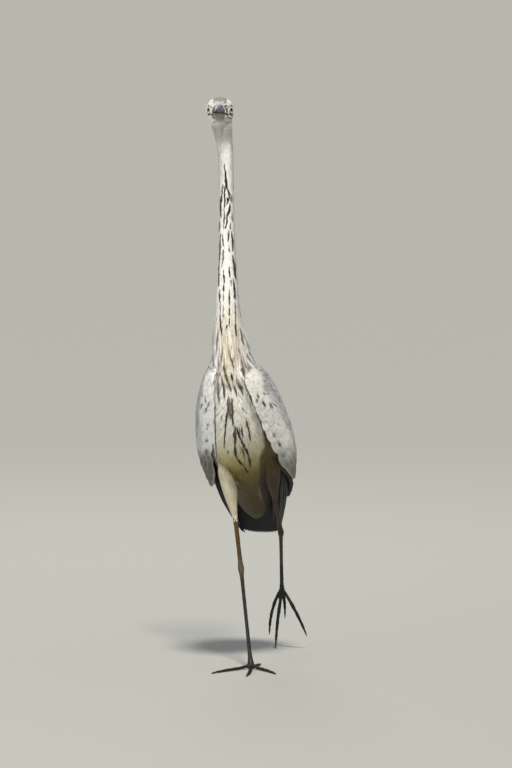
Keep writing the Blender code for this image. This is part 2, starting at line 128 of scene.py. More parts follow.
def tones_at(table, height):
    """The colour at each height, from a table of heights in metres and screen colours."""
    heights, codes = zip(*table)
    tones = np.array([rgb(code) for code in codes])
    return np.stack([np.interp(height, heights, tones[:, i]) for i in range(3)], -1)


# %% [markdown]
# ## Where things are on a heron
# The trunk has its own axes: back along the body from the bend of the wing, out to the bird's left, and
# rising away from the belly. The head has axes of its own too. Everything is placed in these, so a feather
# row is a distance and an angle rather than three loose coordinates.

# %% Body axes
BODY_PITCH, BODY_YAW = math.radians(43), math.radians(2.5)
BEND = np.array((-0.0205, -0.118, 0.523))
cp, sp, cy, sy = math.cos(BODY_PITCH), math.sin(BODY_PITCH), math.cos(BODY_YAW), math.sin(BODY_YAW)
BODY_AXES = np.array(((cy, -sy, 0), (sy * cp, cy * cp, -sp), (sy * sp, cy * sp, cp)))  # out, back, rise


def on_body(back, out, rise):
    back, out, rise = np.broadcast_arrays(back, out, rise)
    return BEND + np.stack([out, back, rise], -1) @ BODY_AXES


def in_body(points):
    """back, out and rise of points."""
    out, back, rise = np.moveaxis((points - BEND) @ BODY_AXES.T, -1, 0)
    return back, out, rise


print("bend of the wing:", BEND)

# %% Head axes
EYE_SPAN, EYE_RADIUS = 0.0318, 0.0070    # metres between the middles of the eyes, and of one ball
HEAD_CENTRE = np.array((-0.033, -0.150, 0.9627))
HEAD_YAW, HEAD_PITCH = math.radians(6.5), math.radians(3.0)
ch, sh, cq, sq = math.cos(HEAD_YAW), math.sin(HEAD_YAW), math.cos(HEAD_PITCH), math.sin(HEAD_PITCH)
HEAD_AXES = np.array(((sh * cq, -ch * cq, sq), (ch, sh, 0), (-sh * sq, ch * sq, cq)))  # ahead, left, up


def on_head(ahead, left, up):
    ahead, left, up = np.broadcast_arrays(ahead, left, up)
    return HEAD_CENTRE + np.stack([ahead, left, up], -1) @ HEAD_AXES


def in_head(points):
    return np.moveaxis((points - HEAD_CENTRE) @ HEAD_AXES.T, -1, 0)


print("middle of the head:", HEAD_CENTRE)

# %% [markdown]
# The neck and the folded wings are tables, as a boatbuilder keeps a hull: a row for each station, and a
# smooth curve through the rows. The edges of the wings and of the mantle are angles round the body.

# %% Stations of the neck and the folded wings
NECK = (  # height, centre x and y, half the width, reach to the throat and to the nape
    (0.5600, -0.0210, -0.1120, 0.0315, 0.0380, 0.0380),
    (0.6100, -0.0230, -0.1230, 0.0228, 0.0270, 0.0290),
    (0.6700, -0.0244, -0.1250, 0.0176, 0.0195, 0.0205),
    (0.7350, -0.0250, -0.1210, 0.0138, 0.0160, 0.0165),
    (0.8050, -0.0262, -0.1175, 0.0122, 0.0150, 0.0155),
    (0.8850, -0.0272, -0.1215, 0.0127, 0.0155, 0.0155),
    (0.9180, -0.0300, -0.1290, 0.0147, 0.0190, 0.0165),
    (0.9570, -0.0330, -0.1385, 0.0165, 0.0190, 0.0150))
WINGS = (  # back from the bend, half the width over both wings, rise, drop, thickness of a wing
    (-0.020, 0.0310, 0.024, 0.040, 0.010), (-0.008, 0.0420, 0.034, 0.046, 0.014),
    (0.008, 0.0505, 0.043, 0.051, 0.017), (0.028, 0.0590, 0.051, 0.057, 0.020),
    (0.055, 0.0675, 0.060, 0.063, 0.023), (0.087, 0.0745, 0.066, 0.068, 0.025),
    (0.130, 0.0810, 0.069, 0.071, 0.024), (0.185, 0.0860, 0.068, 0.072, 0.022),
    (0.235, 0.0850, 0.064, 0.069, 0.018), (0.270, 0.0810, 0.059, 0.064, 0.014),
    (0.300, 0.0760, 0.054, 0.059, 0.010), (0.340, 0.0670, 0.046, 0.052, 0.006),
    (0.380, 0.0570, 0.037, 0.044, 0.005), (0.420, 0.0460, 0.028, 0.035, 0.004),
    (0.460, 0.0350, 0.020, 0.026, 0.004))
WING_EDGES = (  # back from the bend, and the wing's upper and lower edge in degrees from straight up
    (-0.020, 110, 127), (-0.008, 96, 137), (0.008, 78, 145), (0.028, 54, 149), (0.055, 38, 152),
    (0.087, 34, 152), (0.130, 33, 148), (0.185, 29, 136), (0.235, 21, 121), (0.270, 14, 108),
    (0.300, 6, 97), (0.330, 0.7, 86), (0.380, 1.5, 66), (0.405, 8, 50), (0.416, 18, 38))
LEFT_EDGE_LIFT = (  # back from the bend, and how far the lower edge is moved, in degrees
    (-0.030, 0), (0, -5), (0.030, -11), (0.060, -13), (0.095, -14), (0.130, -11), (0.150, -9), (0.185, -5),
    (0.215, -2), (0.240, 0))
RIGHT_EDGE_DROP = (
    (0.090, 0), (0.130, 2), (0.160, 5), (0.185, 12), (0.215, 17), (0.250, 21), (0.290, 21), (0.330, 16),
    (0.360, 8), (0.380, 0))
MANTLE_EDGE = (  # back from the bend, and how far the mantle hangs over each wing, in degrees
    (0.012, 14), (0.040, 34), (0.087, 39), (0.150, 37), (0.210, 31), (0.260, 22), (0.300, 12), (0.325, 4))


# %% Sections of the neck and places on the wings
def neck_section(points):
    """The neck's middle (x, y), half its width and its reach to throat and nape, at the height of points."""
    return read(NECK, np.clip(points[..., 2], NECK[0][0], NECK[-1][0]))


def tucked(back, side):
    """The right wing is held closer at the shoulder than the left. Its share of the full half width."""
    held = np.interp(back, (-0.04, -0.015, 0.0, 0.05, 0.10, 0.20, 0.30), (0, 0.14, 0.17, 0.12, 0.07, 0.035, 0))
    return 1 - held * (np.asarray(side) < 0)


def wing_span(back, side):
    """The angles of a wing's upper and lower edge. The left one is lifted, the right one hangs lower."""
    start, edge = read(WING_EDGES, np.clip(back, WING_EDGES[0][0], WING_EDGES[-1][0]))
    lift, drop = (np.interp(back, *zip(*table)) for table in (LEFT_EDGE_LIFT, RIGHT_EDGE_DROP))
    return start, edge + np.where(np.asarray(side) > 0, lift, drop)


def on_wing(side, back, angle, inset):
    """A point of the folded wing's outside, inset metres under it, angle in degrees from straight up."""
    half, rise, drop, _ = read(WINGS, back)
    s, c = np.sin(np.radians(angle)), np.cos(np.radians(angle))
    x, y = s * half * tucked(back, side), c * np.where(c > 0, rise, drop)
    keep = 1 - inset / np.hypot(x, y)
    return on_body(back, side * x * keep, y * keep)


def wing_angle(points):
    """Angle round the folded wings, and how far out a point lies as a share of their outside."""
    back, out, rise = in_body(points)
    half, up, down, _ = read(WINGS, back)
    s, c = np.abs(out) / (half * tucked(back, out)), rise / np.where(rise > 0, up, down)
    return back, np.degrees(np.arctan2(s, c)), np.hypot(s, c)


def wing_place(points):
    """wing_angle, then the angles of the edges and the share of the way from the upper to the lower one."""
    back, angle, far = wing_angle(points)
    start, edge = wing_span(back, in_body(points)[1])
    return back, angle, far, start, edge, np.clip((angle - start) / np.maximum(edge - start, 1), 0, 1)


print("widest over the wings, mm:", round(2000 * max(row[1] for row in WINGS)))

# %% [markdown]
# ## One skin
# Under the plumage a bird is one continuous skin from the bill to the toes. Copies of the flesh solids are
# melted into one closed mesh (a voxel remesh welds them and hides every joint), smoothed, and drawn inwards
# by the depth of the coat, which is about a millimetre on the face, more on the neck, most on the body and
# nothing at all on the bare legs. The same melted form, before it is drawn in, guides the feathers.

# %% The flesh solids and three mesh helpers
VOXEL = 0.0015
LEG_PARTS = [f"{part}_{name}" for name, _ in SIDES
             for part in ("thigh", "shank", "tarsus", *(f"toe_{toe}" for toe in TOES))]
FLESH = ["head", "neck_upper", "neck_middle", "neck_lower", "trunk", "mantle", "wing_left", "wing_right",
         *LEG_PARTS]


def add_mesh(name, data):
    obj = bpy.data.objects.new(name, data)
    bpy.context.scene.collection.objects.link(obj)
    return obj


def baked(obj):
    """The object's mesh with its modifiers applied."""
    graph = bpy.context.evaluated_depsgraph_get()
    data = bpy.data.meshes.new_from_object(obj.evaluated_get(graph))
    obj.modifiers.clear()
    obj.data = data
    return obj


def arrays(mesh):
    """The corners of a mesh and their outward directions."""
    co = np.empty(len(mesh.vertices) * 3, np.float32)
    normal = np.empty_like(co)
    mesh.vertices.foreach_get("co", co)
    mesh.vertices.foreach_get("normal", normal)
    return co.reshape(-1, 3).astype(float), normal.reshape(-1, 3).astype(float)


print("flesh solids:", len(FLESH))

# %% Melt the flesh into one form
WING_END = 0.37    # metres back; the thin rear of the wing is feather only
gathered = bmesh.new()
for name in FLESH:
    part = bmesh.new()
    part.from_mesh(NODES[name].data)
    bmesh.ops.remove_doubles(part, verts=part.verts, dist=1e-6)
    if name.startswith("wing"):
        bmesh.ops.bisect_plane(part, geom=part.verts[:] + part.edges[:] + part.faces[:], dist=1e-6,
                               plane_co=on_body(WING_END, 0, 0), plane_no=BODY_AXES[1], clear_outer=True)
        bmesh.ops.holes_fill(part, edges=[e for e in part.edges if e.is_boundary])
    whole = bpy.data.meshes.new(name + "_copy")
    part.to_mesh(whole)
    part.free()
    gathered.from_mesh(whole)
    bpy.data.meshes.remove(whole)
melted = bpy.data.meshes.new("form")
gathered.to_mesh(melted)
gathered.free()
form = add_mesh("form", melted)
remesh = form.modifiers.new("melt", "REMESH")
remesh.mode, remesh.voxel_size, remesh.use_smooth_shade = "VOXEL", VOXEL, True
soften = form.modifiers.new("soften", "SMOOTH")
soften.factor, soften.iterations = 0.5, 4
baked(form)

# %% Drop loose bits
work = bmesh.new()
work.from_mesh(form.data)
work.verts.ensure_lookup_table()
islands, unseen = [], set(work.verts)
while unseen:
    island, front = [], [unseen.pop()]
    while front:
        v = front.pop()
        island.append(v)
        for e in v.link_edges:
            other = e.other_vert(v)
            if other in unseen:
                unseen.discard(other)
                front.append(other)
    islands.append(island)
islands.sort(key=len)
for island in islands[:-1]:
    bmesh.ops.delete(work, geom=island, context="VERTS")
work.to_mesh(form.data)
work.free()
print("loose bits dropped:", len(islands) - 1)

# %% [markdown]
# The melt keeps the solids' own shapes, so a few soft forms are eased into it: the right wing is held closer
# at the shoulder, feathers puff over the brows, a shallow hollow lies before each eye, and the fold between
# belly and thigh is smoothed out like skin over a joint.

# %% Ease the form
form_co, form_normal = arrays(form.data)
back, out, rise = in_body(form_co)
half, *_ = read(WINGS, back)
outer = step(0.55, 0.95, np.abs(out) / half) * (form_co[:, 2] > 0.25)
form_co += BODY_AXES[0] * (-out * (1 - tucked(back, out)) * outer)[:, None]
ahead, left, up = in_head(form_co)
brow = step(0.011, 0.017, np.abs(left)) * step(0.001, 0.006, up) * (1 - step(0.016, 0.023, up))
brow = brow * step(-0.022, -0.008, ahead) * (1 - step(0.010, 0.018, ahead))
hollow = step(0.0125, 0.0150, np.abs(left)) * (1 - step(0.0190, 0.0210, np.abs(left))) * step(0.0005, 0.0045, ahead)
hollow = hollow * (1 - step(0.0125, 0.0165, ahead)) * (1 - step(0.0050, 0.0085, np.abs(up + 0.0005)))
form_co += form_normal * (0.0019 * brow - 0.0024 * hollow)[:, None]
form.data.vertices.foreach_set("co", form_co.astype(np.float32).ravel())
form.data.update()
fold = 1 - step(0.018, 0.034, np.linalg.norm(form_co - (-0.012, -0.030, 0.325), axis=1))
group = form.vertex_groups.new(name="fold")
for i in np.flatnonzero(fold > 0.02):
    group.add([int(i)], float(fold[i]), "REPLACE")
ease = form.modifiers.new("ease", "SMOOTH")
ease.factor, ease.iterations, ease.vertex_group = 0.5, 90, "fold"
baked(form)
form_co, form_normal = arrays(form.data)
form_quads = [tuple(p.vertices) for p in form.data.polygons]
form_tree = BVHTree.FromPolygons([tuple(p) for p in form_co], form_quads)
print("form faces:", len(form_quads))

# %% [markdown]
# ## Legs as lines
# Knee, ankle and the ball of the foot are points; the tibia, tarsus and toes are the lines between them.
# The lines tell where the bare skin begins and which way the scales and the thigh feathers run.

# %% Leg lines
LEG_JOINTS = {  # knee, ankle, ball of the foot
    "right": ((-0.035, -0.022, 0.357), (-0.0202, 0.023, 0.1705), (0.0, 0.0, 0.0055)),
    "left": ((0.0275, 0.000, 0.358), (0.0345, 0.135, 0.2205), (0.0226, 0.247, 0.1022))}
HEM = 0.52         # share of the tibia that carries feathers
THIGH_REACH = 0.026    # metres from the leg's line to the edge of its feathers
THIGH_FOLD = (  # height, and how far across the fold runs
    (0.262, 0.0), (0.276, -0.012), (0.298, -0.0212), (0.316, -0.0240), (0.327, -0.0272), (0.335, -0.0305),
    (0.345, -0.0400), (0.357, -0.0535), (0.366, -0.0640))


def along_line(points, a, b):
    """How far along the line a to b each point lies, as a share, and its distance from the line."""
    a, b = np.asarray(a, float), np.asarray(b, float)
    t = (points - a) @ (b - a) / ((b - a) @ (b - a))
    near = a + np.clip(t, 0, 1)[..., None] * (b - a)
    return t, np.linalg.norm(points - near, axis=-1)


BARE_LINES = []
for name, _ in SIDES:
    knee, ankle, ball = (np.array(p) for p in LEG_JOINTS[name])
    BARE_LINES += [(knee + (ankle - knee) * HEM, ankle), (ankle, ball)]
    for toe in TOES:
        low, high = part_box(f"claw_{toe}_{name}")
        BARE_LINES.append((ball, np.array((low + high) / 2)))


# %% Bare legs and feathered thighs
def bare_leg(points):
    """True on the bare shank, tarsus and toes, and the direction of the nearest line."""
    found = [along_line(points, a, b) for a, b in BARE_LINES]
    gaps = np.stack([gap for _, gap in found])
    nearest = gaps.argmin(0)
    ways = np.array([unit(b - a) for a, b in BARE_LINES])
    before_hem = np.stack([t < 0 for t, _ in found])[[0, 6]]
    bare = (gaps.min(0) < 0.0115) & (points[..., 2] < 0.30)
    for line, side_before in ((0, before_hem[0]), (6, before_hem[1])):
        bare &= ~((nearest == line) & side_before)
    return bare, ways[nearest]


def on_thigh(points):
    """1 on the feathered thighs and 0 on the trunk, and the way down the nearer leg."""
    weight, way = np.zeros(points.shape[:-1]), np.zeros(points.shape)
    for name, side in SIDES:
        knee, ankle, _ = (np.array(p) for p in LEG_JOINTS[name])
        t, gap = along_line(points, knee - (ankle - knee) * 0.1, ankle)
        mine = (1 - step(THIGH_REACH * 0.8, THIGH_REACH, gap)) * step(-0.05, 0.12, t)
        mine = mine * (np.sign(points[..., 0] + 0.008) == side)
        if name == "right":   # the belly hangs over the thigh's inner side
            heights, edge = zip(*THIGH_FOLD)
            mine = mine * (1 - step(-0.001, 0.002, points[..., 0] - np.interp(points[..., 2], heights, edge)))
        way = np.where((mine > weight)[..., None], unit(ankle - knee), way)
        weight = np.maximum(weight, mine)
    return weight, way


print("lines of the bare legs:", len(BARE_LINES))

# %% [markdown]
# The skin lies under the coat, so it is drawn in by what the feathers add: least on the face, most on the
# body, nothing on the bare legs. A light smoothing keeps it even where one depth passes into the next.

# %% Draw the skin in
FACE_DEPTH, NECK_DEPTH, BODY_DEPTH = 0.0012, 0.0026, 0.0040


def coat_depth(points):
    z = points[..., 2]
    depth = NECK_DEPTH + (FACE_DEPTH - NECK_DEPTH) * step(0.915, 0.945, z)
    depth = depth + (BODY_DEPTH - depth) * (1 - step(0.54, 0.62, z))
    back, _, out = wing_angle(points)
    depth = np.where((out > 0.93) & (back > 0.25), 0.0020, depth)
    thigh, _ = on_thigh(points)
    depth = depth + (0.0024 - depth) * thigh
    depth = depth * (1 - 0.7 * thigh * (1 - step(0.27, 0.30, z)))
    return np.where(bare_leg(points)[0], 0.0, depth)


skin = add_mesh("skin", form.data.copy())
skin_co = form_co - form_normal * coat_depth(form_co)[:, None]
skin.data.vertices.foreach_set("co", skin_co.astype(np.float32).ravel())
skin.data.update()
ease = skin.modifiers.new("ease", "SMOOTH")
ease.factor, ease.iterations = 0.5, 3
baked(skin)

# %% [markdown]
# ## Eyelids
# A heron's eye is ringed by a thin bare lid that stands a little proud of the ball. It belongs to the skin,
# so the ring is welded into it. The opening faces outwards and a little forwards.

# %% A ring for an eyelid
LID_FACING = math.radians(52)     # from straight ahead, round to the side
LID_OPENING = math.radians(50)    # half the angle that the lids leave open, seen from the ball's centre
LID_ROLL = 0.00085                # metres, half the thickness of a lid's rim


def eye_centre(side):
    return on_head(0.0, side * EYE_SPAN / 2, 0.0)


def eye_axes(side, facing):
    """Unit vectors out of the eye, along its rim and up, for an eye that faces so far from ahead."""
    ahead, left, up = HEAD_AXES
    out = ahead * math.cos(facing) + left * side * math.sin(facing) + up * 0.03
    out = out / np.linalg.norm(out)
    along = np.cross(up, out)
    along /= np.linalg.norm(along)
    return out, along, np.cross(out, along)


def ring_mesh(name, centre, out, along, up, opening, reach, roll, around=40, across=8):
    mesh, rows = bmesh.new(), []
    for i in range(around):
        turn = 2 * math.pi * i / around
        rim = along * math.cos(turn) + up * math.sin(turn)
        middle = centre + (out * math.cos(opening) + rim * math.sin(opening)) * reach
        thick = roll * (1.25 if math.sin(turn) > 0 else 0.9)
        away = unit(middle - centre)
        cross = np.cross(away, np.cross(out, rim))
        rows.append([mesh.verts.new(middle + (away * math.sin(a) + cross * math.cos(a)) * thick)
                     for a in (2 * math.pi * k / across for k in range(across))])
    for row, after in zip(rows, rows[1:] + rows[:1]):
        for k in range(across):
            mesh.faces.new((row[k], row[(k + 1) % across], after[(k + 1) % across], after[k]))
    bmesh.ops.recalc_face_normals(mesh, faces=mesh.faces)
    if mesh.calc_volume(signed=True) < 0:
        bmesh.ops.reverse_faces(mesh, faces=mesh.faces)
    data = bpy.data.meshes.new(name)
    mesh.to_mesh(data)
    mesh.free()
    return add_mesh(name, data)


# %% Weld the eyelids to the skin
for name, side in SIDES:
    out, along, up = eye_axes(side, LID_FACING)
    lid = ring_mesh("lid_" + name, eye_centre(side), out, along, up, LID_OPENING, EYE_RADIUS + 0.0001, LID_ROLL)
    weld = skin.modifiers.new("lid", "BOOLEAN")
    weld.operation, weld.solver, weld.object = "UNION", "MANIFOLD", lid
    baked(skin)
    bpy.data.objects.remove(lid)
skin.data.shade_smooth()
print("skin faces:", len(skin.data.polygons))

# %% [markdown]
# ## Markings
# A young grey heron is a study in greys: pale grey crown, white face, a white foreneck with rows of black
# dashes, cream breast plumes streaked olive, a cream belly, grey wings with a white leading edge and black
# flight feathers. The markings are written once, as lines and bands on the bird, and both the skin and
# every feather are coloured from them. A line is a tone, half its width in millimetres, and the points it
# runs through, across and up in millimetres, as seen from straight in front.

# %% The streaks of the foreneck, breast, belly and wing edge
STREAKS = (
    # neck above
    ("k", 0.6, (-28, 875), (-28, 868), (-27, 861)), ("k", 1.1, (-27, 863), (-26, 852), (-26, 849)),
    ("k", 1.9, (-26, 851), (-25, 839), (-24, 829)), ("k", 1.1, (-24, 831), (-21, 824), (-20, 814)),
    ("k", 1.2, (-27, 832), (-28, 820), (-27, 805), (-29, 793)), ("k", 1.1, (-30, 836), (-32, 827), (-32, 819)),
    ("k", 1.4, (-33, 820), (-35, 807), (-35, 793), (-34, 781)), ("k", 1.2, (-20, 815), (-22, 807), (-24, 804)),
    ("k", 1.7, (-19, 802), (-20, 790), (-24, 782)), ("g", 1.0, (-17, 817), (-17, 805)),
    ("k", 0.9, (-24, 815), (-23, 809)), ("k", 0.9, (-28, 792), (-28, 780), (-29, 763)),
    ("k", 0.9, (-23, 780), (-24, 770), (-26, 762)), ("k", 1.1, (-37, 773), (-38, 757)),
    ("k", 1.0, (-18, 769), (-18, 760)), ("g", 0.8, (-16, 787), (-15, 773)),
    # chest left
    ("g", 1.0, (-49, 554), (-47, 537), (-44, 521)), ("g", 1.0, (-41, 523), (-38, 506), (-36, 480)),
    ("g", 0.8, (-38, 548), (-36, 532), (-33, 515)), ("l", 1.5, (-32, 515), (-28, 499), (-27, 477)),
    ("g", 1.7, (-39, 495), (-38, 483), (-37, 468)), ("o", 0.9, (-30, 567), (-29, 557), (-31, 540)),
    ("g", 0.8, (-38, 592), (-39, 575), (-39, 558)), ("o", 1.4, (-27, 535), (-25, 520), (-19, 501), (-16, 489)),
    # chest middle
    ("k", 1.0, (-22, 601), (-22, 595)), ("k", 0.9, (-18, 564), (-18, 552), (-13, 539), (-9, 525)),
    ("k", 1.4, (-15, 520), (-13, 508)), ("o", 1.2, (-13, 505), (-9, 493), (-6, 481)),
    ("o", 1.0, (-6, 513), (-4, 501), (1, 487)), ("o", 1.4, (1, 499), (3, 484)),
    # chest right
    ("g", 1.0, (-4, 567), (0, 548), (3, 532)), ("o", 1.7, (3, 531), (8, 512)), ("g", 1.0, (8, 512), (10, 487)),
    ("g", 0.8, (-1, 594), (2, 578), (5, 563)),
    # breast column
    ("l", 1.2, (-22, 475), (-22, 460), (-24, 444)), ("g", 2.2, (-19, 477), (-19, 458), (-20, 440)),
    ("o", 1.4, (-15, 477), (-15, 456), (-16, 428)),
    # belly left
    ("k", 1.2, (-24, 452), (-27, 436), (-30, 418)), ("k", 0.9, (-30, 420), (-33, 403), (-35, 387)),
    ("o", 0.8, (-30, 383), (-30, 376)),
    # belly middle
    ("l", 2.2, (-13, 426), (-14, 408), (-16, 389)), ("k", 2.0, (-16, 391), (-17, 376), (-15, 365)),
    ("k", 1.4, (-15, 367), (-11, 359), (-6, 352)),
    # belly right
    ("k", 1.4, (-9, 424), (-8, 411), (-5, 400)), ("k", 1.0, (-2, 427), (-2, 417), (-1, 404)),
    ("g", 1.2, (-5, 424), (-6, 413)), ("k", 1.7, (-5, 402), (-1, 391), (1, 382)),
    ("l", 1.2, (-4, 389), (-3, 378), (-3, 367)), ("k", 1.5, (2, 387), (3, 378), (4, 370)),
    # belly far right
    ("l", 1.4, (6, 440), (7, 429), (10, 414)), ("k", 1.0, (9, 416), (10, 399)),
    # belly low
    ("k", 1.5, (4, 370), (5, 362), (4, 351)), ("k", 1.0, (-5, 350), (-1, 336)),
    # wing line: the left wing's inner edge, its own dark feather edge with painted shadow of the gap to the belly
    ("l", 0.9, (11.5, 492), (14.5, 478), (20.5, 458)), ("l", 0.9, (20.5, 458), (26.5, 436), (31, 413)),
    ("o", 1.0, (31, 413), (36, 391)),
    # neck left
    ("k", 1.2, (-35, 751), (-36, 731), (-36, 706)), ("k", 1.0, (-37, 703), (-37, 684), (-37, 664)),
    ("k", 1.1, (-36, 659), (-35, 646), (-34, 638)), ("g", 0.8, (-34, 636), (-33, 621)),
    ("k", 1.1, (-34, 618), (-32, 598), (-28, 578)),
    # neck right
    ("k", 1.1, (-16, 755), (-14, 738), (-14, 723)), ("k", 1.3, (-14, 716), (-11, 699), (-9, 677)),
    ("k", 1.3, (-12, 675), (-10, 659), (-9, 644)), ("g", 0.8, (-9, 639), (-8, 618), (-8, 598)),
    ("k", 1.2, (-8, 601), (-7, 581)),
    # neck inner left
    ("k", 1.0, (-31, 750), (-29, 733)), ("k", 0.9, (-30, 728), (-29, 713), (-32, 698)),
    ("k", 1.0, (-29, 690), (-27, 675), (-27, 670)), ("k", 1.0, (-28, 666), (-28, 658)),
    ("g", 1.0, (-28, 653), (-28, 641)), ("g", 0.7, (-28, 633), (-28, 611)),
    # neck inner right
    ("k", 1.0, (-20, 758), (-21, 747), (-22, 738)), ("g", 0.8, (-20, 733), (-19, 723)),
    ("k", 1.0, (-19, 697), (-18, 681)), ("g", 0.8, (-16, 676), (-15, 665)),
    ("k", 1.0, (-18, 658), (-18, 643), (-18, 633)), ("k", 0.8, (-17, 630), (-18, 616)),
    ("k", 0.9, (-17, 613), (-18, 601)),
    # shoulder
    ("g", 1.5, (13, 523), (14, 530)),
    # right wing
    ("k", 1.3, (-63, 475), (-63, 467)), ("k", 1.5, (-56, 468), (-59, 460)), ("k", 1.5, (-61, 458), (-64, 451)),
    ("k", 1.3, (-61, 431), (-63, 420)), ("k", 1.7, (-68, 402), (-69, 393)), ("k", 1.3, (-72, 383), (-74, 371)),
    # right wing line: painted shadow of the gap between the right wing and the belly
    ("l", 0.7, (-45.5, 460), (-50.4, 399), (-54.6, 354)),
    # left wing
    ("k", 1.2, (27, 483), (29, 476)), ("k", 1.7, (25, 474), (27, 469)), ("k", 1.8, (34, 470), (37, 461)),
    ("k", 1.4, (44, 465), (47, 456)), ("k", 1.6, (46, 410), (47, 403)), ("k", 1.9, (52, 395), (54, 385)),
)
SIX_TONES = 5.999     # a random number from 0 to 1, times this, picks one of six tones
# v, the lilac, is the tone of a painted reflection of the bill's sheen.
TONES = {"k": rgb("151416"), "g": rgb("77756F"), "o": rgb("544B36"), "l": rgb("4A483E"), "v": rgb("A298B2")}
print("streaks:", len(STREAKS))


# %% Lay the streaks over a colour
def streaked(colour, points, facing):
    """Lays the streaks over the colours of points on the bird's front."""
    colour = colour.copy()
    front = np.flatnonzero((facing[:, 1] < 0.15) & (points[:, 2] > 0.33))
    x, z = points[front, 0] * 1000, points[front, 2] * 1000
    for tone, half, *line in STREAKS:
        line = np.array(line, float)
        low, high = line.min(0) - 3 * half, line.max(0) + 3 * half
        near = np.flatnonzero((x > low[0]) & (x < high[0]) & (z > low[1]) & (z < high[1]))
        if not len(near):
            continue
        place = np.stack([x[near], z[near]], -1)
        lengths = np.linalg.norm(np.diff(line, axis=0), axis=1)
        run = np.concatenate([[0], np.cumsum(lengths)]) / lengths.sum()
        best, at = np.full(len(near), 1e9), np.zeros(len(near))
        for i, (a, b) in enumerate(zip(line, line[1:])):
            t, gap = along_line(place, a, b)
            closer = gap < best
            best = np.where(closer, gap, best)
            at = np.where(closer, run[i] + np.clip(t, 0, 1) * (run[i + 1] - run[i]), at)
        width = half * (0.55 + 0.6 * np.sin(np.pi * np.clip(at, 0.04, 0.96)))
        strength = (1 - step(width * 0.75, width * 1.25 + 0.25, best)) * 0.94
        rows = front[near]
        colour[rows] = mix(colour[rows], TONES[tone], strength)
    return colour


# %% [markdown]
# The head of a young bird has a grey crown, a pale forehead, white brows and cheeks and a dark hind crown.
# Thin dark lines run from the gape under the eye and from the eye back to the crest. Some marks are on both
# sides, others on one side only.

# %% Colours of the head
CROWN_MARKS = (  # one-sided marks: tone, half width in mm, then points ahead, left (minus is right) and up in mm
    ("l", 1.0, (14.0, 8.5, 12.5), (10.0, 10.5, 14.5)), ("g", 0.9, (12.0, 4.0, 16.5), (8.0, 6.0, 18.0)),
    ("g", 0.8, (10.0, -5.0, 17.5), (5.0, -8.0, 19.0)), ("g", 0.8, (14.0, -9.5, 12.0), (10.0, -11.0, 13.5)),
    ("l", 0.9, (16.5, 10.8, -10.5), (6.0, 15.5, -13.5), (-4.0, 19.0, -15.5)),
    ("k", 1.1, (13.5, -14.0, -8.5), (15.5, -11.0, -12.0), (16.0, -7.5, -15.5)),
    # The lilac v mark beside the bill's base on the bird's right is a painted reflection: the bill's lilac sheen
    # carried onto the lore.
    ("k", 1.0, (20.0, 8.0, 5.5), (14.0, 13.0, 8.0)), ("v", 1.7, (20.5, -10.4, 2.0), (18.5, -11.4, 8.6)))
FACE_LINES = (  # tone, half width in mm, then points ahead of, beside and above the eyes in mm
    ("l", 1.9, (19.5, 10.8, 3.5), (17.0, 12.2, -1.0), (15.0, 13.4, -6.8)),
    ("k", 1.8, (21.0, 9.6, -6.6), (15.0, 13.8, -7.0), (9.0, 17.0, -7.4)),
    ("k", 1.2, (9.0, 17.0, -7.4), (-2.0, 20.6, -8.5)),
    ("o", 1.3, (16.0, 8.0, -14.0), (12.0, 11.0, -11.5)),
    ("g", 0.7, (12.0, 6.5, -16.5), (-2.0, 10.0, -20.0)),
    ("k", 1.9, (-8.0, 20.5, 4.5), (-22.0, 19.5, 9.0), (-38.0, 11.0, 9.0), (-47.0, 0.0, 6.0)),
    ("k", 0.8, (6.0, 18.5, 5.5), (-1.0, 20.5, 7.0)))


def head_colour(points):
    ahead, left, up = in_head(points)
    side = np.abs(left)
    crown = step(0.007, 0.012, up) * (1 - step(0.009, 0.014, side))
    hind = 1 - step(-0.034, -0.008, ahead)
    colour = mix(plain("E9E7E0", points), rgb("ADACA6"), crown)
    colour = mix(colour, rgb("8E8F86"), crown * step(0.0135, 0.0165, up))
    colour = mix(colour, rgb("C4C5C8"), crown * (1 - step(0.0125, 0.0155, up)) * step(-0.004, 0.006, ahead) * 0.9)
    brow = step(0.010, 0.014, side) * (1 - step(0.018, 0.021, side)) * step(0.003, 0.008, up)
    colour = mix(colour, rgb("E3DED0"), brow * 0.8)
    colour = mix(colour, rgb("77787D"), crown * hind)
    colour = mix(colour, rgb("37363B"), hind * (1 - step(0.006, 0.013, side)) * step(-0.012, 0.002, up) * 0.85)
    chin = (1 - step(0.005, 0.010, side)) * (1 - step(-0.012, -0.007, up)) * step(-0.024, -0.016, up)
    chin = chin * step(-0.012, 0.004, ahead)
    colour = mix(colour, rgb("B1A894"), chin)
    colour = mix(colour, rgb("F6F5EE"), step(0.009, 0.013, side) * (1 - step(-0.016, -0.010, up)))
    colour = mix(colour, rgb("B9B6A4"), step(0.018, 0.022, side) * (1 - step(-0.012, 0.0, up)) * 0.12)
    mirrored = np.stack([ahead, side, up], -1) * 1000
    one_sided = np.stack([ahead, left, up], -1) * 1000
    for place, marks in ((mirrored, FACE_LINES), (one_sided, CROWN_MARKS)):
        for tone, half, *line in marks:
            gap = np.min([along_line(place, a, b)[1] for a, b in zip(line, line[1:])], 0)
            colour = mix(colour, TONES[tone], 0.92 * (1 - step(half * 0.7, half * 1.4, gap)))
    return colour
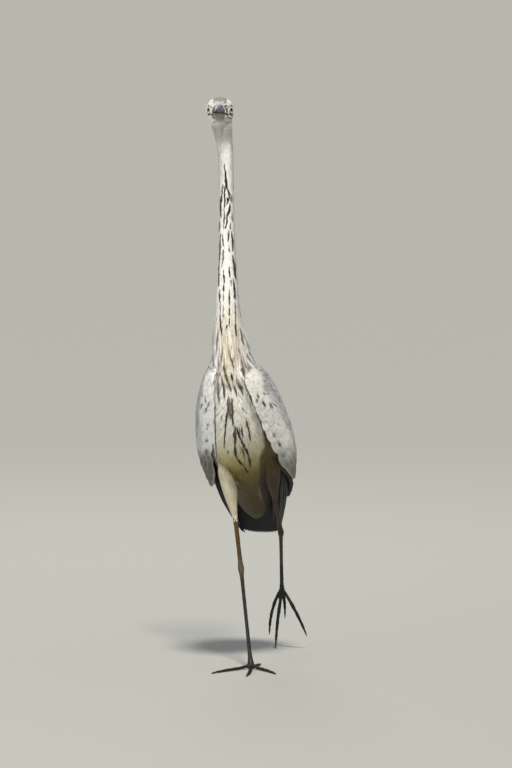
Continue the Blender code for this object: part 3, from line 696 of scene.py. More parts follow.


# %% [markdown]
# The foreneck is white and turns cream towards the breast; the neck's sides are pale grey and its back is
# darker. The belly runs from white to olive low down, and that olive is painted shade under the breast and between
# the thighs.

# %% Colours of the neck, breast and belly
def neck_colour(points):
    z = points[..., 2]
    x0, y0, half, front, _ = neck_section(points)
    across, forward = (points[..., 0] - x0) / half, (y0 - points[..., 1]) / front
    round_neck = np.arctan2(np.abs(across), forward)
    white = mix(plain("F5F4EE", points), rgb("CBC8BE"), step(0.895, 0.920, z))
    white = mix(white, rgb("DDD4C0"), 1 - step(0.575, 0.650, z))
    flank = mix(plain("D8D6D7", points), rgb("CFCCC4"), step(0.86, 0.92, z))
    colour = mix(white, flank, step(0.75, 1.25, round_neck))
    return mix(colour, rgb("8E8D90"), step(1.45, 2.1, round_neck))


# Heights in metres and screen colours of the belly. The olive to near black low down is painted shade under the
# breast's bulge and between the thighs.
BELLY_TONES = ((0.265, "41360A"), (0.310, "50420D"), (0.340, "766426"), (0.362, "B0A26C"), (0.385, "DAD2B2"),
               (0.415, "EFECDD"), (0.490, "F4F2EA"), (0.540, "E6E0D0"))
# The belly's left side next to the left wing is painted dark olive: a painted shadow of that wing.
SHADED_FLANK = ((275, 20), (315, 16), (339, 13.6), (368, 17.6), (386, 26.8), (421, 26), (445, 34))  # height, x in mm
WHITE_FLANK = ((345, -56.5), (354, -55.0), (399, -51.0), (453, -46.8), (471, -43.2), (514, -41.0))


def trunk_colour(points):
    x, z = points[..., 0] * 1000, points[..., 2]
    colour = tones_at(BELLY_TONES, z)
    # Painted shadow of the left wing on the belly's left side.
    heights, edge = zip(*SHADED_FLANK)
    shaded = step(0, 5, x - np.interp(z * 1000, heights, edge)) * (1 - step(0.415, 0.445, z))
    colour = mix(colour, rgb("54431C"), shaded * 0.92)
    heights, edge = zip(*WHITE_FLANK)
    white = step(0, 2.5, np.interp(z * 1000, heights, edge) - x) * step(0.345, 0.360, z)
    flank = mix(plain("DDDBD7", points), rgb("FDFCF5"), step(0.440, 0.465, z))
    return mix(colour, flank, white)


def torso_colour(points):
    neck, trunk = neck_colour(points), trunk_colour(points)
    return mix(trunk, neck, step(0.535, 0.585, points[..., 2]))


# %% [markdown]
# The wings are grey above and pale along the leading edge, with a white patch at each bend and browner, darker
# feathers towards the rear. Low on the wings they are painted browner and darker, as painted shade. Horn on the bare
# leg is brown above the ankle and nearly black below it.

# %% Colours of the wings
SHOULDER_PATCHES = ((-53.0, 492.0, 14.0, 31.0), (21.5, 500.0, 14.0, 27.0))   # middle and reach in mm


def wing_colour(points, back, share):
    """share runs from the wing's upper edge to its lower, leading edge."""
    colour = mix(plain("BCBABF", points), rgb("98999F"), 1 - step(0.10, 0.50, share))
    colour = mix(colour, rgb("AFADAB"), step(0.16, 0.24, back) * step(0.2, 0.5, share))
    band = step(0.54, 0.76, share) * (1 - step(0.19, 0.29, back))
    colour = mix(colour, rgb("FCFBF7"), band)
    rear = mix(plain("7E8085", points), rgb("79725F"), step(0.35, 0.60, share))
    colour = mix(colour, rear, step(0.225, 0.275, back))
    x, z = points[..., 0] * 1000, points[..., 2] * 1000
    # Low on the wing the colour is painted browner: painted shade where the wing turns down from the light.
    colour = mix(colour, rgb("7B7462"), (1 - step(348, 400, z)) * step(0.3, 0.6, share) * 0.75)
    # The lower outer part of the right wing is painted dark olive: painted shade on the secondaries seen edge on.
    low = (1 - step(352, 386, z + np.clip(x + 70, 0, 20) * 0.6)) * (1 - step(-56, -50, x)) * step(0.12, 0.40, share)
    colour = mix(colour, rgb("494430"), low * 0.95)
    # The outer side of the right wing is painted greyer: painted shade where it turns away from the light.
    colour = mix(colour, rgb("85858A"), (1 - step(-84, -68, x)) * step(375, 400, z) * 0.45)
    colour = mix(colour, rgb("3C3A3B"), step(0.300, 0.345, back))
    for x0, z0, wide, tall in SHOULDER_PATCHES:
        off = np.hypot((x - x0) / wide, (z - z0) / tall)
        colour = mix(colour, rgb("FDFCF5"), (1 - step(0.70, 1.2, off)) * (1 - step(0.03, 0.07, back)))
    return colour


# %% Colours of the thighs, the legs and the whole coat
MANTLE_GREY = "84868A"


def thigh_colour(points):
    # The raised left thigh is painted dark olive, darkest low down: painted shade where the body and the left wing
    # shadow it.
    raised = step(0.0, 0.012, points[..., 0])
    dark = mix(plain("513D14", points), rgb("33250C"), 1 - step(0.30, 0.36, points[..., 2]))
    return mix(plain("E6DCC0", points), dark, raised)


LEG_TONES = ((0.0, "282213"), (0.05, "0F0B04"), (0.150, "110D06"), (0.163, "4A4130"), (0.182, "5A5040"),
             (0.195, "4C3A18"), (0.30, "6C4917"))


def leg_colour(points):
    """The bare legs. The raised one is painted darker than the one that stands: painted shade from the body."""
    raised = (points[..., 0] > 0.008) & (points[..., 1] > -0.01) & (points[..., 2] > 0.04)
    colour = tones_at(LEG_TONES, points[..., 2])
    return np.where(raised[..., None], colour * 0.45, colour)


def plumage(points, facing):
    """The coat's colour anywhere on the form."""
    back, angle, out, start, edge, share = wing_place(points)
    colour = torso_colour(points)
    wing = (out > 0.93) & (back > -0.02) & (angle < edge + 2)
    colour = np.where(wing[..., None], wing_colour(points, back, share), colour)
    above = (out > 0.9) & (angle < start + 4) & (back > -0.01)
    colour = np.where(above[..., None], rgb(MANTLE_GREY), colour)
    # Under the wing's lower rear edge the coat is painted near black: the dark of the primaries behind it, with
    # painted shade under the wing.
    painted_shade_under_wing = step(0.19, 0.24, back) * step(0.82, 0.90, out) * (angle > edge - 3) * (1 - step(128, 142, angle))
    colour = mix(colour, rgb("171617"), painted_shade_under_wing)
    colour = mix(colour, thigh_colour(points), on_thigh(points)[0])
    colour = mix(colour, head_colour(points), step(0.930, 0.945, points[..., 2]))
    return streaked(colour, points, facing)


print("lines on the face:", len(FACE_LINES), "one-sided marks:", len(CROWN_MARKS))

# %% [markdown]
# ## Plumage material
# Feathers are keratin: dry, matt to softly glossy, and built of barbs that leave the shaft at a slant like
# the teeth of a comb. Under a lens barbs sit about 0.4 mm apart, too fine to show here, so they are drawn
# about three times as coarse. Every feather carries its colour, its own coordinates (across, along and a
# random number) and its size in millimetres, and the shader makes barbs, shaft and worn pale fringe from
# those. The same shader, with soft sheen, does for downy tufts.

# %% Node and material helpers
def add(tree, kind, inputs=None, **settings):
    made = tree.nodes.new("ShaderNode" + kind)
    for key, value in settings.items():
        setattr(made, key, value)
    for key, value in (inputs or {}).items():
        if isinstance(value, bpy.types.NodeSocket):
            tree.links.new(value, made.inputs[key])
        else:
            made.inputs[key].default_value = value
    return made


def new_material(name, **sockets):
    made = bpy.data.materials.new(name)
    made.use_nodes = True
    shader = made.node_tree.nodes["Principled BSDF"]
    for key, value in sockets.items():
        shader.inputs[key.replace("_", " ")].default_value = value
    return made, made.node_tree, shader


def linear(code):
    return (*rgb(code), 1.0)


# %% Feather keratin
def feather_keratin(name, barb_mm, roughness, sheen, fringe="E8E4D8", shaft="4A4744", ridge=0.00012, streak=0.10):
    made, tree, shader = new_material(name, Roughness=roughness, IOR=1.54, Sheen_Weight=sheen,
                                      Sheen_Roughness=0.5, Specular_IOR_Level=0.35)
    colour = add(tree, "Attribute", attribute_name="plumage").outputs["Color"]
    vane = add(tree, "Attribute", attribute_name="vane").outputs["Vector"]
    size = add(tree, "Attribute", attribute_name="size").outputs["Vector"]
    x, y, seed = add(tree, "SeparateXYZ", {0: vane}).outputs
    wide, long, edge = add(tree, "SeparateXYZ", {0: size}).outputs
    across = add(tree, "Math", {0: x}, operation="ABSOLUTE").outputs[0]
    out_mm = add(tree, "Math", {0: across, 1: wide}, operation="MULTIPLY").outputs[0]
    up_mm = add(tree, "Math", {0: y, 1: long}, operation="MULTIPLY").outputs[0]
    slant = add(tree, "Math", {0: out_mm, 1: -1.2, 2: up_mm}, operation="MULTIPLY_ADD").outputs[0]
    turn = add(tree, "Math", {0: slant, 1: 2 * math.pi / barb_mm, 2: seed}, operation="MULTIPLY_ADD").outputs[0]
    barbs = add(tree, "Math", {0: turn}, operation="SINE").outputs[0]
    place = add(tree, "TexCoord").outputs["Object"]
    cloud = add(tree, "TexNoise", {"Vector": place, "Scale": 70.0, "Detail": 4.0, "Roughness": 0.6})
    fine = add(tree, "TexNoise", {"Vector": place, "Scale": 420.0, "Detail": 3.0, "Roughness": 0.7})
    shade = add(tree, "MapRange", {"Value": cloud.outputs[0], "From Min": 0.3, "From Max": 0.7,
                                   "To Min": 1 - streak, "To Max": 1 + streak}).outputs[0]
    grain = add(tree, "MapRange", {"Value": fine.outputs[0], "From Min": 0.3, "From Max": 0.7,
                                   "To Min": 1 - streak, "To Max": 1 + streak}).outputs[0]
    lines = add(tree, "Math", {0: barbs, 1: streak * 0.6, 2: 1.0}, operation="MULTIPLY_ADD").outputs[0]
    own = add(tree, "Math", {0: seed, 1: streak * 0.9, 2: 1 - streak * 0.45}, operation="MULTIPLY_ADD").outputs[0]
    for other in (grain, lines, own):
        shade = add(tree, "Math", {0: shade, 1: other}, operation="MULTIPLY").outputs[0]
    shaded = add(tree, "VectorMath", {0: colour, "Scale": shade}, operation="SCALE").outputs[0]
    stem = add(tree, "MapRange", {"Value": out_mm, "From Min": 0.25, "From Max": 0.75, "To Min": 0.55,
                                  "To Max": 0.0}).outputs[0]
    stem = add(tree, "Math", {0: stem, 1: edge}, operation="MULTIPLY").outputs[0]
    shaded = add(tree, "Mix", {0: stem, 6: shaded, 7: linear(shaft)}, data_type="RGBA").outputs[2]
    tip = add(tree, "Math", {0: y, 1: 6.0}, operation="POWER").outputs[0]
    rim = add(tree, "Math", {0: across, 1: tip}, operation="MAXIMUM").outputs[0]
    rim = add(tree, "MapRange", {"Value": rim, "From Min": 0.62, "From Max": 0.98, "To Min": 0.0,
                                 "To Max": 0.8}).outputs[0]
    rim = add(tree, "Math", {0: rim, 1: edge}, operation="MULTIPLY").outputs[0]
    shaded = add(tree, "Mix", {0: rim, 6: shaded, 7: linear(fringe)}, data_type="RGBA").outputs[2]
    tree.links.new(shaded, shader.inputs["Base Color"])
    bump = add(tree, "Bump", {"Height": barbs, "Distance": ridge, "Strength": 0.7})
    tree.links.new(bump.outputs[0], shader.inputs["Normal"])
    return made


down_feather = feather_keratin("downy feather keratin", barb_mm=1.2, roughness=0.78, sheen=0.12)
covert_feather = feather_keratin("covert feather keratin", barb_mm=1.4, roughness=0.62, sheen=0.12,
                                 fringe="D9D6CE", shaft="55524F")
flight_feather = feather_keratin("flight feather keratin", barb_mm=1.5, roughness=0.56, sheen=0.0,
                                 fringe="2B2927", shaft="0C0B0A", ridge=0.0002)
plume_feather = feather_keratin("plume keratin", barb_mm=2.0, roughness=0.66, sheen=0.2, fringe="DAD5C8",
                                shaft="77736B", streak=0.14)
print("feather finishes:", [m.name for m in (down_feather, covert_feather, flight_feather, plume_feather)])

# %% [markdown]
# ## One feather, many thousand times
# A feather here is a thin closed blade: a point at the root, a few rings of four or six corners, and a point
# at the tip. Each tract is one mesh made from arrays, so ten thousand of them take a moment. Real feathers
# are rooted in the skin and lie backwards over one another like tiles, so roots sit deep and tips a little
# proud. A blade's outline is a few widths along it, and its section is flat, cupped or ridged.

# %% Outlines of the blades
BLADES = {  # rings as (place along, half width), and the corners of a ring
    "face": (((0.25, 0.9), (0.70, 0.8)), 4),
    "tuft": (((0.18, 0.75), (0.55, 1.0), (0.85, 0.6)), 4),
    "plume": (((0.10, 0.55), (0.35, 1.0), (0.60, 0.85), (0.80, 0.55), (0.93, 0.25)), 4),
    "covert": (((0.08, 0.45), (0.30, 0.85), (0.55, 1.0), (0.78, 0.97), (0.92, 0.70), (0.98, 0.35)), 6),
    "flight": (((0.03, 0.35), (0.12, 0.70), (0.30, 0.95), (0.50, 1.0), (0.68, 1.0), (0.82, 0.95),
                (0.91, 0.80), (0.96, 0.55), (0.99, 0.25)), 6)}
RING = {4: ((-1, -1, 0), (0, 0, 0.5), (1, -1, 0), (0, 0, -0.5)),   # across, how much of the cup, thickness
        6: ((-1, -1, 0), (-0.55, -0.35, 0.42), (0, 0, 0.5), (0.55, -0.35, 0.42), (1, -1, 0), (0, 0, -0.5))}


def places(kind):
    """Where the root, the rings and the tip of a blade lie along it."""
    return np.array([0.0, *(t for t, _ in BLADES[kind][0]), 1.0])


# %% The blade
def blades(kind, centre, normal, half, thick, cup=0.18, skew=0.0, edge=0.0):
    """Blades along centre lines (blade, place, xyz). Sizes are in metres, one for all or one for each blade."""
    rings, corners = BLADES[kind]
    count = len(centre)
    half, thick, cup, skew, edge = (np.broadcast_to(np.asarray(v, float), (count,)) for v in
                                    (half, thick, cup, skew, edge))
    tangent = unit(np.gradient(centre, axis=1))
    normal = unit(along_surface(normal, tangent))
    side = np.cross(tangent, normal)
    share = np.array([w for _, w in rings])
    ring = np.array(RING[corners])
    wide = half[:, None] * share                                     # blade, ring
    off = wide[..., None] * (ring[:, 0] + skew[:, None, None] * (np.abs(ring[:, 0]) > 0.9))
    deep = wide[..., None] * cup[:, None, None] * ring[:, 1]
    deep = deep + thick[:, None, None] * ring[:, 2] * share[:, None] ** 0.5
    middle = centre[:, 1:-1, None]
    body = middle + side[:, 1:-1, None] * off[..., None] + normal[:, 1:-1, None] * deep[..., None]
    points = np.concatenate([centre[:, :1], body.reshape(count, -1, 3), centre[:, -1:]], 1)
    face_up = np.concatenate([normal[:, :1], np.repeat(normal[:, 1:-1], corners, 1), normal[:, -1:]], 1)
    long = np.linalg.norm(np.diff(centre, axis=1), axis=-1).sum(1)
    place = places(kind)
    vane = np.zeros((count, points.shape[1], 3))
    vane[:, :, 0] = np.concatenate([[0], np.tile(ring[:, 0], len(rings)), [0]])
    vane[:, :, 1] = np.concatenate([[0], np.repeat(place[1:-1], corners), [1]])
    vane[:, :, 2] = rng.random(count)[:, None]
    size = np.repeat(np.stack([half * 1000, long * 1000, edge], -1)[:, None], points.shape[1], 1)
    return {"kind": kind, "points": points, "up": face_up, "vane": vane, "size": size, "root": centre[:, 0]}


def blade_faces(kind):
    """A fan at the root, bands of quads, and a fan at the tip."""
    rings, corners = BLADES[kind]
    tip = 1 + len(rings) * corners

    def at(j, k):
        return 1 + j * corners + k % corners

    faces = [(0, at(0, k + 1), at(0, k)) for k in range(corners)]
    for j in range(len(rings) - 1):
        faces += [(at(j, k), at(j, k + 1), at(j + 1, k + 1), at(j + 1, k)) for k in range(corners)]
    return faces + [(at(len(rings) - 1, k), at(len(rings) - 1, k + 1), tip) for k in range(corners)]


# %% [markdown]
# Every feather also carries a small patch on a flat sheet, at its root's place on the unrolled skin: the head,
# the neck, the trunk and the legs are each unrolled round their own axis, side by side on the sheet.

# %% A sheet that unrolls the skin
def unrolled(points):
    """The place of points on a flat sheet that unrolls the skin: head, neck, body and legs, chart by chart."""
    ahead, left, up = in_head(points)
    head = np.stack([np.arctan2(left, ahead + 0.012) / (2 * np.pi) + 0.5, (up + 0.035) / 0.06], -1)
    z = points[..., 2]
    x0, y0, *_ = neck_section(points)
    neck = np.stack([np.arctan2(points[..., 0] - x0, y0 - points[..., 1]) / (2 * np.pi) + 0.5,
                     (z - 0.54) / 0.41], -1)
    back, out, rise = in_body(points)
    body = np.stack([(back + 0.06) / 0.56, np.arctan2(out, rise) / (2 * np.pi) + 0.5], -1)
    leg = np.stack([np.arctan2(points[..., 0] - 0.008, 0.08 - points[..., 1]) / (2 * np.pi) + 0.5, z / 0.34], -1)
    sheet = np.where((z > 0.945)[..., None], head * (0.44, 0.44) + (0.03, 0.53), neck * (0.44, 0.44) + (0.53, 0.53))
    sheet = np.where((z < 0.56)[..., None], body * (0.94, 0.28) + (0.03, 0.22), sheet)
    low = (z < 0.33) & (back > 0.20) | (z < 0.20)
    sheet = np.where(low[..., None], leg * (0.94, 0.16) + (0.03, 0.03), sheet)
    return np.clip(sheet, 0.01, 0.99)


# %% Blades to a piece
PATCH = 0.0015     # half the width of a feather's patch on the sheet


def put(data, name, kind, values):
    """Values for the corners of a mesh, which a material reads by name."""
    layer = data.attributes.new(name, kind, "POINT")
    layer.data.foreach_set("color" if kind == "FLOAT_COLOR" else "vector", values.astype(np.float32).ravel())


def coat(name, groups, paint, finish):
    """One mesh from groups of blades. paint gives the colour of each point of a group."""
    points, vane, size, colour, patch, corner, starts = ([] for _ in range(7))
    base = total = 0
    for group in groups:
        count, per = group["points"].shape[:2]
        faces = blade_faces(group["kind"])
        flat = np.concatenate([np.array(f) for f in faces])
        lengths = np.array([len(f) for f in faces])
        corner.append((flat + base + np.arange(count)[:, None] * per).ravel())
        starts.append((np.concatenate([[0], np.cumsum(lengths)[:-1]]) + total
                       + np.arange(count)[:, None] * len(flat)).ravel())
        sheet = unrolled(group["root"])[:, None] + (group["vane"][:, :, :2] * (1, 2) - (0, 1)) * PATCH
        patch.append(sheet[:, flat].reshape(-1, 2))
        colour.append(paint(group).reshape(-1, 3))
        points.append(group["points"].reshape(-1, 3))
        vane.append(group["vane"].reshape(-1, 3))
        size.append(group["size"].reshape(-1, 3))
        base += count * per
        total += count * len(flat)
    points, corner, starts = np.concatenate(points), np.concatenate(corner), np.concatenate(starts)
    data = bpy.data.meshes.new(name)
    data.vertices.add(len(points))
    data.vertices.foreach_set("co", points.astype(np.float32).ravel())
    data.loops.add(len(corner))
    data.loops.foreach_set("vertex_index", corner.astype(np.int32))
    data.polygons.add(len(starts))
    data.polygons.foreach_set("loop_start", starts.astype(np.int32))
    data.update(calc_edges=True)
    data.validate()
    data.shade_smooth()
    data.set_sharp_from_angle(angle=math.radians(62))
    full = np.concatenate(colour)
    put(data, "plumage", "FLOAT_COLOR", np.hstack([full, np.ones((len(full), 1))]))
    put(data, "vane", "FLOAT_VECTOR", np.concatenate(vane))
    put(data, "size", "FLOAT_VECTOR", np.concatenate(size))
    layer = data.uv_layers.new(name="OFBake")
    layer.data.foreach_set("uv", np.concatenate(patch).astype(np.float32).ravel())
    piece = add_mesh(name, data)
    data.materials.append(finish)
    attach(piece, "root")
    print(name, "blades:", sum(len(g["points"]) for g in groups), "triangles:", len(corner) - 2 * len(starts))
    return piece


# %% [markdown]
# ## Where feathers grow and how they lie
# Roots are spread evenly but not in a grid: points are thrown on the form at random, and one that falls
# closer to an earlier root than the tract's spacing is dropped. The lie of the plumage runs from the bill
# back over the head, down the neck, and back along the body, and it follows the thighs down to the bare leg.

# %% Even random roots on the form
quads = np.array(form_quads)
corners_xyz = form_co[quads]
diagonals = corners_xyz[:, 2] - corners_xyz[:, 0], corners_xyz[:, 3] - corners_xyz[:, 1]
quad_area = np.linalg.norm(np.cross(*diagonals), axis=1) / 2
quad_middle = corners_xyz.mean(1)
print("form area in square metres:", round(float(quad_area.sum()), 3))


def every(gap):
    """A spacing that is the same all over a tract."""
    return lambda points: np.full(len(points), gap)


def roots(inside, spacing, tries=5.0):
    """Roots, and the form's outward direction there. inside and spacing are functions of points."""
    tract = np.flatnonzero(inside(quad_middle))
    gap = spacing(quad_middle[tract])
    weight = quad_area[tract] / gap ** 2
    count = int(weight.sum() * tries)
    chosen = tract[rng.choice(len(tract), count, p=weight / weight.sum())]
    a, b = rng.random((2, count, 1))
    p, q, r, s = np.moveaxis(corners_xyz[chosen], 1, 0)
    points = (p * (1 - a) + q * a) * (1 - b) + (s * (1 - a) + r * a) * b
    gap = spacing(points)
    cell = gap.max()
    cells = np.floor(points / cell).astype(int)
    kept, grid = [], {}
    for i, (key, point, least) in enumerate(zip(map(tuple, cells), points.tolist(), (gap ** 2).tolist())):
        x, y, z = key
        px, py, pz = point
        close = False
        for near in ((x + i1, y + j1, z + k1) for i1 in (0, -1, 1) for j1 in (0, -1, 1) for k1 in (0, -1, 1)):
            for qx, qy, qz in grid.get(near, ()):
                if (qx - px) ** 2 + (qy - py) ** 2 + (qz - pz) ** 2 < least:
                    close = True
                    break
            if close:
                break
        if not close:
            grid.setdefault(key, []).append(point)
            kept.append(i)
    return points[kept], unit(form_normal[quads[chosen[kept]]].mean(1))


# %% The lie of the plumage
def lie(points, normal):
    """The way the feathers point, along the form."""
    ahead_axis, left_axis, up_axis = HEAD_AXES
    ahead, left, up = in_head(points)
    z = points[..., 2]
    drop = 0.25 + 1.1 * step(0.0, -0.03, ahead) * (1 - step(0.0, 0.02, up)) + 0.8 * (1 - step(-0.015, 0.0, up))
    spread = np.sign(left) * 0.35 * step(0.0, 0.012, ahead)
    head = -ahead_axis - up_axis * np.clip(drop, 0, 1.6)[..., None] + left_axis * spread[..., None]
    neck = np.broadcast_to(np.array((0.0, 0.02, -1.0)), points.shape)
    body = np.broadcast_to(BODY_AXES[1], points.shape)
    way = mix(neck, unit(head), step(0.925, 0.950, z))
    way = mix(body, way, step(0.46, 0.56, z))
    thigh, down = on_thigh(points)
    way = mix(way, down, thigh)
    bare, along = bare_leg(points)
    way = np.where(bare[..., None], along, way)
    return unit(along_surface(way, normal))


# %% Blades combed along the form
def nearest(points):
    """The nearest points of the form, and its outward direction there."""
    found = [form_tree.find_nearest(Vector(p)) for p in points.reshape(-1, 3)]
    where = np.array([f[0] for f in found]).reshape(points.shape)
    out = np.array([f[1] for f in found]).reshape(points.shape)
    return where, out


def combed(kind, points, normal, long, sink, lift, way=None, stray=0.10):
    """Centre lines and outward directions of blades that lie along the form from their roots.

    A curve runs through the root and the form's nearest points half way and at the tip. sink is how deep
    the root sits, lift how proud the tip stands, and stray how much neighbours differ in direction.
    """
    way = lie(points, normal) if way is None else way
    side = np.cross(way, normal)
    way = unit(way + side * rng.normal(0, stray, (len(points), 1)))
    long = np.broadcast_to(long, (len(points),))[:, None]
    middle, middle_out = nearest(points + way * long * 0.5)
    tip, tip_out = nearest(middle + unit(along_surface(way, middle_out)) * long * 0.5)
    t = places(kind)[None, :, None]
    line = (points[:, None] * (1 - t) * (1 - 2 * t) + middle[:, None] * 4 * t * (1 - t)
            + tip[:, None] * t * (2 * t - 1))
    out = unit(normal[:, None] * (1 - t) * np.maximum(1 - 2 * t, 0) + middle_out[:, None] * 4 * t * (1 - t) * 0.5
               + normal[:, None] * (1 - t) * 0.5 + tip_out[:, None] * t)
    sink, lift = (np.broadcast_to(v, (len(points),))[:, None, None] for v in (sink, lift))
    line = line + out * (lift * t ** 1.2 - sink * (1 - t) ** 2)
    return line, out


# %% The colour of a blade
def own_shade(group, least, spread):
    """Makes each blade a little lighter or darker than its neighbours, by its own random number."""
    return least + spread * group["vane"][:, :, 2:3]


def by_place(group):
    """Every point of a blade takes the markings of its own place."""
    points, up = group["points"], group["up"]
    return plumage(points.reshape(-1, 3), up.reshape(-1, 3)).reshape(points.shape)


def by_blade(group):
    """Each small blade is of one colour, that of the place which its outer half covers."""
    points, up = group["points"], group["up"]
    middle = points[:, 2:-1].mean(1) * 0.4 + points[:, -1] * 0.6
    own = plumage(middle, up[:, -1]) * (0.94 + 0.12 * group["vane"][:, 0, 2:3])
    return np.repeat(own[:, None], points.shape[1], 1)


# %% [markdown]
# The head's feathers are the smallest, and leave the lore, the lids and the base of the bill bare. Those of the
# neck are fine and short in front, where the black dashes are, and broader behind. Breast, belly and flanks
# have long soft plumes, and the thighs shorter ones that shrink towards the bare leg.

# %% Head
EYE_CLEARING = 0.0079    # metres round the middle of an eyeball that stay free of feathers


def on_head_coat(points):
    ahead, _, up = in_head(points)
    lore = (ahead > 0.013) & (np.abs(up + 0.002) < 0.007)
    eyes = np.array([eye_centre(s) for _, s in SIDES])
    near_eye = np.linalg.norm(points[:, None] - eyes, axis=-1).min(1) < EYE_CLEARING
    return (points[:, 2] > 0.940) & ~lore & ~near_eye & (ahead < 0.0215)


found, outward = roots(on_head_coat, every(0.00115))
line, out = combed("face", found, outward, long=0.0042, sink=0.0010, lift=0.0003)
coat("coat_head", [blades("face", line, out, half=0.00072, thick=0.0003)], by_blade, down_feather)

# %% Neck
def neck_round(points):
    x0, y0, half, front, _ = neck_section(points)
    return np.arctan2(np.abs(points[..., 0] - x0) / half, (y0 - points[..., 1]) / front)


def neck_gap(points):
    return 0.0016 + 0.0014 * step(0.9, 1.5, neck_round(points)) + 0.0009 * (1 - step(0.57, 0.66, points[..., 2]))


def on_neck(points, front):
    high = (points[:, 2] > 0.556) & (points[:, 2] <= 0.942) & (in_body(points)[0] < 0.012)
    return high & ((neck_round(points) < 1.25) == front)


for name, front in (("front", True), ("back", False)):
    found, outward = roots(lambda p, front=front: on_neck(p, front), neck_gap)
    gap = neck_gap(found)
    line, out = combed("tuft", found, outward, long=gap * 4.6, sink=0.0022, lift=0.0005)
    coat("coat_neck_" + name, [blades("tuft", line, out, half=gap * 0.62, thick=0.0005)], by_blade, down_feather)

# %% Breast, belly and flanks
def on_belly(points):
    back, angle, far, _, edge, _ = wing_place(points)
    wing = (back > -0.015) & (angle < edge - 2) & (far > 0.90)
    bare, _ = bare_leg(points)
    return (points[:, 2] <= 0.560) & ~wing & ~bare & (on_thigh(points)[0] < 0.5) & (back < 0.405)


found, outward = roots(on_belly, every(0.0040))
long = 0.026 + 0.009 * step(0.05, 0.25, in_body(found)[0])
line, out = combed("plume", found, outward, long, sink=0.0038, lift=0.0004, stray=0.09)
coat("coat_belly", [blades("plume", line, out, half=0.0034, thick=0.0005, cup=0.1)], by_place, down_feather)

# %% Thighs
def on_thighs(points):
    return (on_thigh(points)[0] >= 0.5) & ~bare_leg(points)[0]


found, outward = roots(on_thighs, every(0.0028))
low = 1 - step(0.27, 0.30, found[:, 2])
line, out = combed("tuft", found, outward, long=0.015 - 0.006 * low, sink=0.0022 - 0.0014 * low, lift=0.0006)
group = blades("tuft", line, out, half=0.0019 - 0.0006 * low, thick=0.0006)
coat("coat_thighs", [group], by_place, down_feather)

# %% [markdown]
# ## The folded wings
# A folded wing is rows of tiles. Tiny marginal coverts edge the leading side, lesser and median coverts grow
# larger row by row, and the long greater coverts and secondaries finish the wing behind. Each feather is
# grey with a dark shaft and a worn pale fringe. A place on the wing is a distance back and a share of the
# way from its upper to its lower edge.

# %% Wing surface
def wing_at(side, back, share, inset):
    start, edge = wing_span(back, side)
    return on_wing(side, back, start + (edge - start) * share, inset)


def wing_out(side, back, share):
    """The wing's outward direction, from small steps back and across."""
    a = wing_at(side, back + 0.003, share, 0) - wing_at(side, back - 0.003, share, 0)
    b = wing_at(side, back, share + 0.03, 0) - wing_at(side, back, share - 0.03, 0)
    out = unit(np.cross(a, b))
    middle = on_body(back, 0.0, 0.0)
    return out * np.sign(((wing_at(side, back, share, 0) - middle) * out).sum(-1, keepdims=True))


# %% A row of wing feathers
def wing_row(side, kind, back, tip, across, half, thick, inset, tip_inset, drift=0.0, jitter=0.06, low=0.0,
             high=1.0, edge=0.8, cup=0.22, scatter=0.007, rise=0.8):
    """A row of feathers with roots about one distance back. tip gives the distance back of their tips by share."""
    line = wing_at(side, np.full(41, back + 0.6 * (np.mean(tip(0.5)) - back)), np.linspace(low, high, 41), 0)
    width = np.linalg.norm(np.diff(line, axis=0), axis=1).sum()
    count = max(3, int(round(width / across)))
    margin = 0.85 * half / width
    low, high = low + margin * (low == 0), high - margin * (high == 1)
    share = low + (high - low) * (np.arange(count) + rng.normal(0, jitter, count)) / (count - 1)
    share = np.clip(share, low, high)
    t = places(kind)
    root = back + rng.uniform(-0.5, 0.5, count) * scatter
    ends = tip(share) + (root - back) * (scatter > 0.007) + rng.normal(0, 0.0024, count)
    place = root[:, None] + (ends - root)[:, None] * t
    at = share[:, None] + (drift + rng.normal(0, 0.020, count))[:, None] * t ** 1.3
    deep = inset + (tip_inset - inset) * t[None] ** rise
    centre = wing_at(side, place, at, deep)
    out = wing_out(side, place, np.clip(at, 0.0, 1.0))
    return blades(kind, centre, out, half * rng.normal(1, 0.14, count), thick, cup=cup, edge=edge,
                  skew=rng.normal(0, 0.05, count))


# %% Colour of the wing feathers
def wing_paint(group):
    """Grey feathers that are darker along the middle and paler at the rim, each a little different."""
    points, up, vane = group["points"], group["up"], group["vane"]
    flat = points.reshape(-1, 3)
    back, *_, share = wing_place(flat)
    colour = streaked(wing_colour(flat, back, share), flat, up.reshape(-1, 3)).reshape(points.shape)
    x, y = np.abs(vane[:, :, 0:1]), vane[:, :, 1:2]
    pale = colour.mean(-1, keepdims=True)
    own = 1 + (0.26 * vane[:, :, 2:3] - 0.16) * (1 - 0.6 * step(0.5, 0.9, pale))
    small = 1 - step(0.10, 0.20, in_body(group["root"])[0])[:, None, None]
    fleck = (0.30 + 0.35 * small * ((vane[:, :, 2:3] * 53) % 1 < 0.30)) * (1 - step(0.55, 0.85, pale))
    centre = 1 - fleck * (1 - x) * step(0.35, 0.8, y)
    return np.clip(colour * own * centre, 0, 1)


# %% Coverts and secondaries
SMALL_COVERTS = (  # root, length, half the width
    (-0.016, 0.0130, 0.0036), (-0.006, 0.0140, 0.0038), (0.004, 0.0155, 0.0041), (0.014, 0.0165, 0.0044),
    (0.025, 0.0175, 0.0047), (0.036, 0.0190, 0.0050), (0.048, 0.0205, 0.0053), (0.061, 0.0220, 0.0056),
    (0.075, 0.0240, 0.0059), (0.090, 0.0265, 0.0063), (0.106, 0.0295, 0.0067), (0.124, 0.0330, 0.0072),
    (0.143, 0.0380, 0.0078), (0.163, 0.0430, 0.0084))


def long_tip(share):
    """Where the longest feathers of the folded wing end."""
    return np.interp(share, (0, .28, .50, .62, .74, .86, 1.0), (.412, .416, .405, .385, .345, .300, .268))


